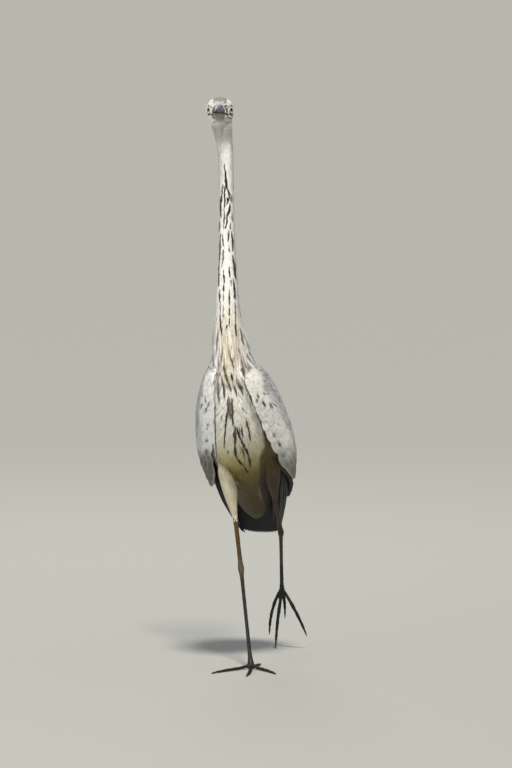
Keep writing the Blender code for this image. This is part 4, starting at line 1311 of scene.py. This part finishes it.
for name, side in SIDES:
    groups = []
    for back, length, half in SMALL_COVERTS:
        groups.append(wing_row(side, "covert", back, lambda s, b=back + 1.25 * length: b + 0 * s, half * 1.35, half,
                               thick=0.0003, inset=0.0030, tip_inset=0.0002, drift=-0.02, jitter=0.30, edge=0.35,
                               cup=0.05, scatter=0.6 * length, rise=0.25))
    for back, tip, across, half, deep, proud, scatter in (
            (0.182, lambda s: 0.246 - 0.014 * s, 0.0118, 0.0090, 0.0022, 0.0, 0.012),
            (0.200, lambda s: 0.284 - 0.020 * s, 0.0122, 0.0094, 0.0024, 0.0004, 0.014)):
        groups.append(wing_row(side, "covert", back, tip, across, half, thick=0.0006, inset=deep, tip_inset=proud,
                               edge=0.5, scatter=scatter, rise=0.4))
    coat("wing_coverts_" + name, groups, wing_paint, covert_feather)
    groups = []
    for back, tip, across, half, thick, deep, proud, high, edge in (
            (0.215, lambda s: long_tip(s) - 0.002, 0.0125, 0.0085, 0.0008, 0.0034, 0.0026, 1.0, 0.5),
            (0.200, lambda s: long_tip(s) - 0.034 - 0.012 * s, 0.0130, 0.0088, 0.0008, 0.0026, 0.0016, 1.0, 0.5),
            (0.190, lambda s: 0.335 - 0.045 * s, 0.0130, 0.0090, 0.0008, 0.0022, 0.0008, 1.0, 0.55),
            (0.165, lambda s: 0.395 - 0.05 * s, 0.0150, 0.0125, 0.0009, 0.0016, 0.0002, 0.36, 0.5)):
        groups.append(wing_row(side, "flight", back, tip, across, half, thick, deep, proud, high=high, edge=edge))
    coat("wing_secondaries_" + name, groups, wing_paint, covert_feather)

# %% [markdown]
# ## The dark hand feathers
# The primaries are slate black, stiff and narrow. Folded, they lie stacked under the secondaries and show
# below the wing as a black blade.

# %% Primaries
PRIMARY_EDGES = (  # back, and the angles between which the stack of primaries lies
    (0.225, 88, 100), (0.260, 78, 109), (0.300, 71, 120), (0.340, 66, 126), (0.380, 60, 124),
    (0.420, 60, 120), (0.445, 66, 110), (0.462, 80, 96))
PRIMARY_TIPS = (0.408, 0.426, 0.440, 0.449, 0.454, 0.455, 0.447, 0.432, 0.412)
PRIMARY_ROOT = 0.228
UNDER_WING = 0.0048      # metres from the secondaries down to the primaries
SLATE, SLATE_EDGE = "080809", "111113"


def slate_paint(group):
    slate = plain(SLATE, group["points"])
    return mix(slate, rgb(SLATE_EDGE), 0.6 * np.abs(group["vane"][:, :, 0])) * own_shade(group, 0.8, 0.4)


for name, side in SIDES:
    count, t = len(PRIMARY_TIPS), places("flight")
    share = (np.arange(count) + 0.5) / count
    place = PRIMARY_ROOT + (np.array(PRIMARY_TIPS) - PRIMARY_ROOT)[:, None] * t
    start, end = read(PRIMARY_EDGES, place)
    thick = read(WINGS, place)[3]
    pile = (np.arange(count) % 3 - 1)[:, None] * 0.0008
    end = end + 16 * step(0.24, 0.30, place)
    spread = 0.005 * step(0.26, 0.30, place) if side < 0 else 0.0      # the right hand is held a little open
    centre = on_wing(side, place, start + (end - start) * (share[:, None] * 0.88 + 0.06),
                     thick + UNDER_WING + pile - spread)
    middle = on_body(place, 0.0, 0.0)
    group = blades("flight", centre, unit(centre - middle), half=0.0066, thick=0.0009, cup=0.15, edge=0.4)
    piece = coat("primary_feathers_" + name, [group], slate_paint, flight_feather)
    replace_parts(piece, "primaries_" + name)

# %% [markdown]
# The tail is short and square: a flat fan of stiff grey feathers; below it is painted nearly black, as
# painted shade. The middle ones lie on top.

# %% Tail
TAIL = (  # back, half the width, thickness, rise
    (0.290, 0.0200, 0.0060, -0.0020), (0.300, 0.022, 0.0060, -0.002), (0.350, 0.032, 0.0055, -0.002),
    (0.400, 0.0375, 0.0045, -0.003), (0.424, 0.0370, 0.0035, -0.004), (0.438, 0.0340, 0.0025, -0.005),
    (0.455, 0.026, 0.0012, -0.006))
TAIL_ROOT = 0.285
# The tail's underside is painted nearly black: painted shade under a grey tail.
TAIL_GREY, TAIL_UNDER_SHADE = "5A5C61", "080809"


def tail_paint(group):
    above = plain(TAIL_GREY, group["points"])
    ring = group["vane"][:, :, 0]
    under = np.zeros(ring.shape)
    corners = RING[BLADES[group["kind"]][1]]
    under[:, 1:-1] = np.tile([1.0 if c[2] <= 0 else 0.0 for c in corners], (ring.shape[1] - 2) // len(corners))
    return mix(above, rgb(TAIL_UNDER_SHADE), under) * own_shade(group, 0.88, 0.24)


count, t = 15, places("flight")
fan = np.linspace(-1, 1, count)
ends = 0.4530 - 0.009 * fan ** 2
place = TAIL_ROOT + (ends - TAIL_ROOT)[:, None] * t
half, _, rise = read(TAIL, place)
pile = 0.0012 - 0.0024 * np.abs(fan)
half = np.maximum(half, 0.0375 * step(0.36, 0.40, place))
centre = on_body(place, fan[:, None] * (half - 0.0052), rise + pile[:, None])
upward = np.broadcast_to(BODY_AXES[2], centre.shape)
group = blades("flight", centre, upward, half=0.0056, thick=0.0011, cup=0.1, edge=0.4)
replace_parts(coat("tail_feathers", [group], tail_paint, flight_feather), "tail")

# %% [markdown]
# ## Mantle, breast plumes and crest
# Long lance-shaped feathers hang from the shoulders over the wings, and from the foot of the neck over the
# breast. The nape carries a short black crest, which is longer on an old bird.

# %% Mantle and shoulder plumes
def on_mantle(points):
    back, angle, far = wing_angle(points)
    edge = np.interp(back, *zip(*MANTLE_EDGE))
    return (back > -0.012) & (back < 0.285) & (angle < edge + 7) & (far > 0.85) & (points[:, 2] < 0.575)


def mantle_paint(group):
    colour = plain(MANTLE_GREY, group["points"]) * own_shade(group, 0.85, 0.3)
    colour = colour * (1 + 0.25 * np.abs(group["vane"][:, :, 0:1]))
    front = 1 - step(0.01, 0.05, in_body(group["root"])[0])
    white = plain("E9E6DD", colour)
    pale_ones = (group["vane"][:, :1, 2] < 0.5) * front[:, None] * 0.8
    return mix(colour, white, np.repeat(pale_ones, colour.shape[1], 1))


found, outward = roots(on_mantle, every(0.0062))
back = in_body(found)[0]
long = 0.030 + 0.042 * step(0.0, 0.18, back)
_, angle, _ = wing_angle(found)
away = BODY_AXES[0] * (np.sign(in_body(found)[1]) * 0.16 * step(2, 14, angle))[:, None]
way = unit(along_surface(BODY_AXES[1] + away, outward))
line, out = combed("plume", found, outward, long, sink=0.0016, lift=0.0019, way=way, stray=0.08)
group = blades("plume", line, out, half=0.0048, thick=0.0008, cup=0.15, edge=0.55)
coat("mantle_plumes", [group], mantle_paint, plume_feather)

# %% Plumes of the breast
def on_breast(points):
    x0, y0, *_ = neck_section(points)
    round_breast = np.arctan2(np.abs(points[:, 0] - x0), y0 - points[:, 1])
    return (points[:, 2] > 0.535) & (points[:, 2] < 0.640) & (round_breast < 1.05)


found, outward = roots(on_breast, every(0.0046))
long = np.clip(found[:, 2] - 0.492, 0.045, 0.085) * rng.uniform(0.8, 1.05, len(found))
way = unit(along_surface(np.array((0.0, 0.0, -1.0)), outward))
line, out = combed("plume", found, outward, long, sink=0.0030, lift=0.0014, way=way, stray=0.05)


def breast_paint(group):
    """Long plumes, cream or grey-brown, some with a dark edge."""
    points, vane = group["points"], group["vane"]
    seed = vane[:, :, 2]
    cream = np.array([rgb(c) for c in ("EFE8D8", "E0D5BE", "F4F0E6", "D2C6AC", "E9DECA", "BDB299")])
    grey = np.array([rgb(c) for c in ("EFEEEE", "D2D0D1", "F6F5F4", "BCB9B7", "E2E0E0", "A09C98")])
    side = np.abs(points[:, :1, 0] + 0.0205) + np.zeros(seed.shape)
    base = mix(cream[(seed * SIX_TONES).astype(int)], grey[(seed * SIX_TONES).astype(int)], step(0.009, 0.017, side))
    one_edge = (vane[:, :, 0] > 0.5) * ((seed * 37) % 1 < 0.30) * step(0.05, 0.2, vane[:, :, 1])
    base = mix(base, rgb("4A443C"), one_edge * 0.8)
    return streaked(base.reshape(-1, 3), points.reshape(-1, 3), group["up"].reshape(-1, 3)).reshape(points.shape)


group = blades("plume", line, out, half=0.0021, thick=0.0005, cup=0.1, edge=0.15)
coat("breast_plumes", [group], breast_paint, plume_feather)

# %% Plumes over the shoulders
def on_shoulder(points):
    x0, y0, *_ = neck_section(points)
    turn = np.arctan2(np.abs(points[:, 0] - x0), y0 - points[:, 1])
    return (points[:, 2] > 0.556) & (points[:, 2] < 0.615) & (turn > 1.0)


found, outward = roots(on_shoulder, every(0.0056))
long = rng.uniform(0.038, 0.056, len(found))
way = np.array((0.0, 0.35, -1.0)) + outward * 0.42
line, out = combed("plume", found, outward, long, sink=0.0030, lift=0.0026, way=unit(way), stray=0.08)


def shoulder_paint(group):
    seed = group["vane"][:, :, 2]
    tones = np.array([rgb(c) for c in ("D4D3D1", "B2B2B4", "E9E7E2", "C6C5C5", "F4F2EE", "97979B")])
    return tones[(seed * SIX_TONES).astype(int)]


group = blades("plume", line, out, half=0.0034, thick=0.0008, cup=0.2, edge=0.4)
coat("shoulder_plumes", [group], shoulder_paint, plume_feather)

# %% [markdown]
# ## Dark streaks
# The rows of dashes down the foreneck are single dark feathers, each a narrow blade lying over its pale
# neighbours. They are laid one behind the other along the same lines that colour the skin and the coat.

# %% Dark blades along the streaks
def streak_rows(strokes, project, longest, lift):
    """Narrow blades along each line: roots, ways, lengths, half widths and tones, from points in mm."""
    rows = []
    for tone, half, *line in strokes:
        line, half = np.array(line, float) / 1000, half / 1000
        lengths = np.linalg.norm(np.diff(line, axis=0), axis=1)
        run = np.concatenate([[0], np.cumsum(lengths)])
        long = np.clip(run[-1] * 0.7, 0.004, longest)
        strands = 1 if half < 0.0013 else 3     # a broad streak is three feathers side by side
        for at in np.arange(0, max(run[-1] - long, 0) + 1e-6, long * 0.42):
            for _ in range(strands):
                start, end = (np.array([np.interp(np.clip(s, 0, run[-1]), run, column) for column in line.T])
                              for s in (at, at + long))
                sideways = np.zeros(line.shape[1])
                sideways[0 if line.shape[1] == 2 else 1] = rng.normal(0, half * (0.10 if strands == 1 else 0.45))
                a, b = project(start + sideways), project(end + sideways * 0.6)
                if a is None or b is None:
                    continue
                rows.append((a[0], a[1], b[0] - a[0], long * rng.uniform(0.95, 1.15),
                             half * (1.0 if strands == 1 else 0.62), tone))
    points, outs, ways, longs, halves = (np.array([r[i] for r in rows]) for i in range(5))
    way = unit(along_surface(ways, outs))
    line, out = combed("plume", points, outs, longs, sink=0.0006, lift=lift(points), way=way, stray=0.04)
    group = blades("plume", line, out, halves, thick=0.0005, cup=0.2)
    group["tone"] = np.array([TONES[r[5]] for r in rows])
    return group


def from_front(place):
    hit, out, _, _ = form_tree.ray_cast(Vector((place[0], -0.5, place[1])), Vector((0, 1, 0)))
    return None if hit is None else (np.array(hit), np.array(out))


def from_head(place):
    hit, out, _, _ = form_tree.find_nearest(Vector(on_head(*place)))
    return np.array(hit), np.array(out)


def streak_paint(group):
    return group["tone"][:, None] * own_shade(group, 0.8, 0.5)


def streak_lift(points):
    """Streaks stand higher on the chest, where they lie over the long plumes."""
    return 0.0011 + 0.0013 * step(0.47, 0.50, points[:, 2]) * (1 - step(0.60, 0.64, points[:, 2]))


# %% Lay the dark feathers
neck_streaks = streak_rows(STREAKS, from_front, 0.012, streak_lift)
coat("dark_streaks", [neck_streaks], streak_paint, down_feather)
both_sides = [(tone, half, *((a, s * b, c) for a, b, c in line)) for tone, half, *line in FACE_LINES for s in (1, -1)]
both_sides += CROWN_MARKS
face_streaks = streak_rows(both_sides, from_head, 0.0055, lambda p: 0.0007)
coat("face_streaks", [face_streaks], streak_paint, down_feather)

# %% [markdown]
# The crest is a bundle of narrow black feathers that follows the hind crown and droops over the nape.

# %% Crest
CREST = (  # ahead of the eyes and above them, in metres, from root to tip
    (-0.0300, 0.0185), (-0.0420, 0.0120), (-0.0500, 0.0010), (-0.0515, -0.0130), (-0.0500, -0.0270),
    (-0.0490, -0.0400))
path = np.array(CREST)
count, t = 11, places("plume")
offset = np.linspace(-1, 1, count)
starts = rng.uniform(0.0, 0.18, count) + 0.10 * np.abs(offset)
ends = 1.0 - 0.45 * np.abs(offset) ** 1.2 - rng.uniform(0, 0.06, count)
along = starts[:, None] + (ends - starts)[:, None] * t
ahead, up = (np.interp(along * (len(path) - 1), np.arange(len(path)), path[:, i]) for i in (0, 1))
spread = offset[:, None] * (0.0045 - 0.0030 * along)
centre = on_head(ahead - 0.0006 * (np.arange(count) % 3)[:, None], spread, up)
away = unit(centre - on_head(-0.02, 0.0, -0.02))
group = blades("plume", centre, away, half=0.0021, thick=0.0007, cup=0.2, edge=0.2)


def crest_paint(group):
    return plain("26262A", group["points"]) * own_shade(group, 0.8, 0.4)


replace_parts(coat("crest_feathers", [group], crest_paint, flight_feather), "crest")

# %% [markdown]
# ## Scales of the bare leg
# The tarsus and toes are sheathed in scutes, small horny plates about three millimetres long that overlap
# downwards. They are short, thick blades rooted almost level with the skin.

# %% Scutes
def leg_paint(group):
    return leg_colour(group["points"]) * own_shade(group, 0.75, 0.5)


found, outward = roots(lambda p: bare_leg(p)[0] & (p[:, 2] > 0.0018), every(0.0016))
line, out = combed("face", found, outward, long=0.0031, sink=0.0003, lift=0.0004, stray=0.06)
leg_scale = feather_keratin("leg scale keratin", barb_mm=1.6, roughness=0.45, sheen=0.0, fringe="322C1F",
                            shaft="0D0B07", ridge=0.00005, streak=0.16)
group = blades("face", line, out, half=0.0014, thick=0.0004, cup=0.3, edge=0.25)
coat("leg_scutes", [group], leg_paint, leg_scale)

# %% [markdown]
# ## The eyes
# A heron's eye is a wet ball with a pale yellow iris, a round black pupil and a dark rim where the iris
# meets the white. The clear cornea bulges over the iris, so it catches a small hard highlight. The ball is
# made of rings, as on a lathe, and a clear coat on its finish stands for the cornea.

# %% Iris and cornea
BALL_EDGE = 52           # degrees from the middle of the iris to the end of the colour rings
IRIS, GAZE = math.radians(43), math.radians(25)    # half the iris, and how far aside an eye looks
EYE_RINGS = ((0.0, "000000"), (0.53, "000000"), (0.56, "FFFFFF"), (0.81, "FFFFFF"), (0.90, "2A2620"), (1.0, "1A1815"))
CORNEA = 46              # degrees; the clear bulge ends here


def eye_material():
    made, tree, shader = new_material("wet cornea over iris", Roughness=0.12, IOR=1.376, Coat_Weight=0.6,
                                      Coat_Roughness=0.02)
    bearing = add(tree, "Attribute", attribute_name="bearing").outputs["Vector"]
    off, turn, _ = add(tree, "SeparateXYZ", {0: bearing}).outputs
    spokes = add(tree, "Math", {0: turn, 1: 46.0}, operation="MULTIPLY").outputs[0]
    spokes = add(tree, "Math", {0: spokes}, operation="SINE").outputs[0]
    cloud = add(tree, "TexNoise", {"Vector": bearing, "Scale": 9.0, "Detail": 4.0}).outputs[0]
    fibre = add(tree, "Math", {0: spokes, 1: 0.10, 2: cloud}, operation="MULTIPLY_ADD").outputs[0]
    yellow = add(tree, "ValToRGB", {"Fac": fibre}).outputs[0]
    ramp = yellow.node.color_ramp
    ramp.elements[0].position, ramp.elements[0].color = 0.30, linear("C9B878")
    ramp.elements[1].position, ramp.elements[1].color = 0.62, linear("F2EDD0")
    rings = add(tree, "ValToRGB", {"Fac": off}).outputs[0]
    ramp = rings.node.color_ramp
    ramp.interpolation = "EASE"
    for i, (position, code) in enumerate(EYE_RINGS):
        element = ramp.elements[i] if i < 2 else ramp.elements.new(position)
        element.position, element.color = position, linear(code)
    mixed = add(tree, "Mix", {0: 1.0, 6: yellow, 7: rings}, data_type="RGBA", blend_type="MULTIPLY").outputs[2]
    tree.links.new(mixed, shader.inputs["Base Color"])
    return made


wet_eye = eye_material()
# %% Eyeballs
for name, side in SIDES:
    out, along, up = eye_axes(side, GAZE)
    angles = np.concatenate([np.radians(np.arange(0, 60, 2.0)), np.radians(np.arange(60, 180, 8.0)), [np.pi]])
    turns = 48
    points, bearing, faces = [], [], []
    for a in angles:
        bulge = 0.00035 * np.clip(np.cos(a * 90 / CORNEA), 0, 1) if a < math.radians(CORNEA) else 0
        reach = EYE_RADIUS - 0.00025 + bulge
        for k in range(turns):
            turn = 2 * math.pi * k / turns
            rim = along * math.cos(turn) + up * math.sin(turn)
            points.append(eye_centre(side) + (out * math.cos(a) + rim * math.sin(a)) * reach)
            bearing.append((a / math.radians(BALL_EDGE), turn, 0.0))
    for i in range(len(angles) - 1):
        for k in range(turns):
            n = (k + 1) % turns
            faces.append((i * turns + k, (i + 1) * turns + k, (i + 1) * turns + n, i * turns + n))
    data = bpy.data.meshes.new("eyeball_" + name)
    data.from_pydata([tuple(p) for p in points], [], faces)
    put(data, "bearing", "FLOAT_VECTOR", np.clip(np.array(bearing), 0, 9))
    work = bmesh.new()
    work.from_mesh(data)
    bmesh.ops.remove_doubles(work, verts=work.verts, dist=1e-6)
    bmesh.ops.recalc_face_normals(work, faces=work.faces)
    work.to_mesh(data)
    work.free()
    data.shade_smooth()
    data.materials.append(wet_eye)
    ball = add_mesh("eyeball_" + name, data)
    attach(ball, "root")
    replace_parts(ball, "eye_" + name)
print("iris diameter mm:", round(2 * EYE_RADIUS * math.sin(IRIS) * 1000, 1))

# %% [markdown]
# ## The bill
# A dagger of bone under a horn sheath. The upper half carries a groove on each side with the slit of the
# nostril in its rear end. Rings of points along it, a little smaller each time, are drawn over by a surface,
# so the ridge, the groove and the cutting edge all come from the ring's outline. Horn shows growth streaks
# along it, darkens at the cutting edges and the tip, and is matt in the slit of the nostril.

# %% Outline of the bill
BILL = (  # share of the length, half the width, height of the upper half, depth of the lower half
    (0, .0108, .0148, .0100), (.08, .0103, .0142, .0096), (.25, .0086, .0124, .0090), (.50, .0062, .0096, .0076),
    (.75, .0038, .0064, .0050), (.92, .0018, .0034, .0022), (1, .0004, .0008, .0005))
BILL_LENGTH, BILL_START = 0.120, 0.0223     # metres, and where it leaves the face ahead of the eyes
GAPE, GAPE_RISE = -0.0060, 0.0015           # height of the cutting edges, and how much they rise to the tip
BILL_LEAN, BILL_SHIFT = 0.030, 0.0018       # the bill leans a little to the bird's right
BILL_SPOTS = (  # dark flecks: left, up and radius in metres
    (-0.0017, 0.0058, 0.0012), (0.0034, 0.0062, 0.0013), (0.0008, 0.0016, 0.0013), (-0.0045, 0.0005, 0.0009))


# %% Bill horn
def horn(name, dark, pale, warm):
    made, tree, shader = new_material(name, Roughness=0.40, IOR=1.54)
    place = add(tree, "TexCoord").outputs["Object"]
    along = add(tree, "Mapping", {"Vector": place, "Scale": (260.0, 45.0, 260.0)}).outputs[0]
    growth = add(tree, "TexNoise", {"Vector": along, "Scale": 1.0, "Detail": 5.0, "Roughness": 0.6}).outputs[0]
    mouth = add(tree, "Attribute", attribute_name="mouth").outputs["Fac"]
    stain = add(tree, "TexNoise", {"Vector": place, "Scale": 60.0, "Detail": 3.0}).outputs[0]
    streak = add(tree, "MapRange", {"Value": growth, "From Min": 0.35, "From Max": 0.65}).outputs[0]
    base = add(tree, "Mix", {0: streak, 6: linear(dark), 7: linear(pale)}, data_type="RGBA").outputs[2]
    heat = add(tree, "MapRange", {"Value": stain, "From Min": 0.5, "From Max": 0.75, "To Max": 0.7}).outputs[0]
    base = add(tree, "Mix", {0: heat, 6: base, 7: linear(warm)}, data_type="RGBA").outputs[2]
    base = add(tree, "Mix", {0: mouth, 6: base, 7: linear("1F1A18")}, data_type="RGBA").outputs[2]
    tree.links.new(base, shader.inputs["Base Color"])
    gloss = add(tree, "MapRange", {"Value": mouth, "To Min": 0.30, "To Max": 0.02}).outputs[0]
    tree.links.new(gloss, shader.inputs["Specular IOR Level"])
    bump = add(tree, "Bump", {"Height": growth, "Distance": 0.00015, "Strength": 0.6})
    tree.links.new(bump.outputs[0], shader.inputs["Normal"])
    rough = add(tree, "MapRange", {"Value": growth, "From Min": 0.3, "From Max": 0.7, "To Min": 0.32,
                                   "To Max": 0.50}).outputs[0]
    tree.links.new(rough, shader.inputs["Roughness"])
    return made


# %% One half of the bill
def half_bill(name, upper, reach, finish):
    """One half of the bill. mouth is how dark the horn is: the cutting edge, the tip, the slit and the flecks."""
    rows, around = 72, 40
    share = np.linspace(0, 1, rows) ** 0.92
    half, culmen, keel = read(BILL, share)
    turn = np.linspace(0, np.pi, around)
    across, height = np.cos(turn), np.sin(turn) ** (0.66 if upper else 0.95)
    points, mouth = [], []
    for s, w, top, low in zip(share, half, culmen, keel):
        ahead = BILL_START + s * BILL_LENGTH * reach
        gape = GAPE + GAPE_RISE * s
        side, up = across * w, height * top
        lean = -BILL_SHIFT - BILL_LEAN * BILL_LENGTH * s
        tip = 0.8 * step(0.70, 0.92, s)
        if upper:
            groove = np.exp(-((np.abs(across) - 0.80) / 0.10) ** 2) * (1 - step(0.45, 0.62, s))
            slit = np.exp(-((np.abs(across) - 0.72) / 0.07) ** 2) * step(0.03, 0.06, s) * (1 - step(0.12, 0.15, s))
            shrink = 1 - 0.07 * groove - 0.22 * slit
            points.append(on_head(ahead, side * shrink + lean, gape + up * shrink + 0.0003))
            spots = sum(np.exp(-((side + lean - a) ** 2 + (gape + up - b) ** 2) / r ** 2) for a, b, r in BILL_SPOTS)
            dark = (1 - step(0.0004, 0.0018, up), np.full(around, tip), 0.45 * (1 - step(0.0010, 0.0062, up)),
                    0.9 * step(0.25, 0.7, slit), 0.85 * spots)
            mouth.append(np.clip(np.maximum.reduce(dark), 0, 1))
        else:
            down = height * low
            points.append(on_head(ahead, side * 0.97 + lean, gape - 0.0003 - down))
            mouth.append(np.maximum(1 - step(0.0003, 0.0012, down), tip * 0.7))
    points = np.concatenate([np.concatenate(points), [points[0].mean(0)], [points[-1].mean(0)]])
    faces = []
    for i in range(rows - 1):
        for k in range(around):
            n = (k + 1) % around
            faces.append((i * around + k, i * around + n, (i + 1) * around + n, (i + 1) * around + k))
    faces += [(rows * around, k, (k + 1) % around) for k in range(around)]
    last = (rows - 1) * around
    faces += [(rows * around + 1, last + (k + 1) % around, last + k) for k in range(around)]
    data = bpy.data.meshes.new(name)
    data.from_pydata([tuple(p) for p in points], [], faces)
    layer = data.attributes.new("mouth", "FLOAT", "POINT")
    layer.data.foreach_set("value", np.concatenate([*mouth, [0, 0]]).astype(np.float32))
    work = bmesh.new()
    work.from_mesh(data)
    bmesh.ops.recalc_face_normals(work, faces=work.faces)
    work.to_mesh(data)
    work.free()
    data.shade_smooth()
    data.set_sharp_from_angle(angle=math.radians(50))
    data.materials.append(finish)
    piece = add_mesh(name, data)
    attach(piece, "root")
    return piece


# %% Upper and lower bill
upper_horn = horn("upper bill horn", "4A414C", "8A7F96", "5E4C4B")
lower_horn = horn("lower bill horn", "6B5F50", "8E806B", "806F48")
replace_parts(half_bill("upper_bill", True, 1.0, upper_horn), "bill_upper")
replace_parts(half_bill("lower_bill", False, 0.985, lower_horn), "bill_lower")
print("bill length mm:", round(BILL_LENGTH * 1000))

# %% [markdown]
# ## The claws
# Each claw is a solid horn hook. The solids' own shapes serve: a fine melt rounds their edges, as wear does.

# %% Claws
claw_horn = horn("claw horn", "1E1A16", "4A4137", "5A4D3A")
for name, _ in SIDES:
    for toe in TOES:
        node = f"claw_{toe}_{name}"
        claw = add_mesh(f"nail_{toe}_{name}", NODES[node].data.copy())
        melt = claw.modifiers.new("melt", "REMESH")
        melt.mode, melt.voxel_size = "VOXEL", 0.00035
        ease = claw.modifiers.new("ease", "SMOOTH")
        ease.factor, ease.iterations = 0.5, 6
        baked(claw)
        claw.data.shade_smooth()
        claw.data.materials.clear()
        claw.data.materials.append(claw_horn)
        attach(claw, "root")
        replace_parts(claw, node)

# %% [markdown]
# ## The skin's colour
# Between the feathers the skin shows as down of the same colour, a little darker because it lies in their
# shade. It has the markings of the coat above it and the horn colours of the legs. Down is 0.3 mm deep here,
# and its clumps of about 1.5 mm are what shows at arm's length.

# %% Downy skin
SKIN_SHARE = 0.42        # of its faces, which is enough under a coat


def skin_material():
    made, tree, shader = new_material("downy skin", Roughness=0.85, IOR=1.45, Sheen_Weight=0.2)
    colour = add(tree, "Attribute", attribute_name="plumage").outputs["Color"]
    place = add(tree, "TexCoord").outputs["Object"]
    down = add(tree, "TexNoise", {"Vector": place, "Scale": 700.0, "Detail": 4.0, "Roughness": 0.65})
    shade = add(tree, "MapRange", {"Value": down.outputs[0], "From Min": 0.3, "From Max": 0.7, "To Min": 0.70,
                                   "To Max": 0.95}).outputs[0]
    shaded = add(tree, "VectorMath", {0: colour, "Scale": shade}, operation="SCALE").outputs[0]
    tree.links.new(shaded, shader.inputs["Base Color"])
    bump = add(tree, "Bump", {"Height": down.outputs[0], "Distance": 0.0003})
    tree.links.new(bump.outputs[0], shader.inputs["Normal"])
    return made


def skin_colour(points, facing):
    return np.where(bare_leg(points)[0][:, None], leg_colour(points), plumage(points, facing))


# %% Colour the skin
shrink = skin.modifiers.new("fewer faces", "DECIMATE")
shrink.ratio = SKIN_SHARE
baked(skin)
skin.data.shade_smooth()
skin_points, skin_out = arrays(skin.data)
tint = skin_colour(skin_points, skin_out)
put(skin.data, "plumage", "FLOAT_COLOR", np.hstack([tint, np.ones((len(tint), 1))]))
skin.data.materials.clear()
skin.data.materials.append(skin_material())
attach(skin, "root")
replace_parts(skin, *FLESH)
bpy.data.objects.remove(form)
print("skin triangles:", sum(len(p.vertices) - 2 for p in skin.data.polygons))

# %% [markdown]

# %% [markdown]
# ## Floor and light
# The bird stands on one wide sheet of pale matt paper. A broad warm light from above and in front models the
# breast and leaves the underside in shade, a cool fill opens the shadows, and a weak light from behind parts
# the back from the paper.

# %% Floor and room light
FLOOR_REACH, FLOOR_CORNERS = 30, 96
floor_data = bpy.data.meshes.new("floor")
rim = [(FLOOR_REACH * math.cos(a), FLOOR_REACH * math.sin(a), 0.0)
       for a in np.linspace(0, 2 * math.pi, FLOOR_CORNERS, endpoint=False)]
floor_data.from_pydata(rim, [], [tuple(range(FLOOR_CORNERS))])
floor = add_mesh("floor", floor_data)
paper, tree, shader = new_material("studio paper", Base_Color=linear("AEB0AB"), Roughness=0.9)
floor_data.materials.append(paper)
world = bpy.data.worlds.new("studio")
bpy.context.scene.world = world
world.use_nodes = True
backdrop = world.node_tree.nodes["Background"]
backdrop.inputs["Color"].default_value = linear("D6DCE0")
backdrop.inputs["Strength"].default_value = 0.34


# %% Lamps
def lamp(name, kind, way, energy, tone):
    made = bpy.data.objects.new(name, bpy.data.lights.new(name, kind))
    bpy.context.scene.collection.objects.link(made)
    made.rotation_euler = Vector(way).to_track_quat("-Z", "Y").to_euler()
    made.data.energy, made.data.color = energy, tuple(rgb(tone))
    return made


def soft_box(name, place, aim, width, watts, tone):
    made = lamp(name, "AREA", Vector(aim) - Vector(place), watts, tone)
    made.location = place
    made.data.shape, made.data.size = "DISK", width


skylight = lamp("skylight", "SUN", (-0.15, 0.72, -1.0), energy=3.5, tone="FFF8EE")
skylight.data.angle = math.radians(9)
soft_box("fill", (-2.2, -3.4, 1.5), (0, 0, 0.55), width=1.6, watts=52, tone="F8F8FF")
soft_box("rim", (-0.6, 2.4, 2.2), (0, 0, 0.6), width=1.0, watts=12, tone="FFFFFF")
bpy.context.scene.view_settings.view_transform = "Standard"
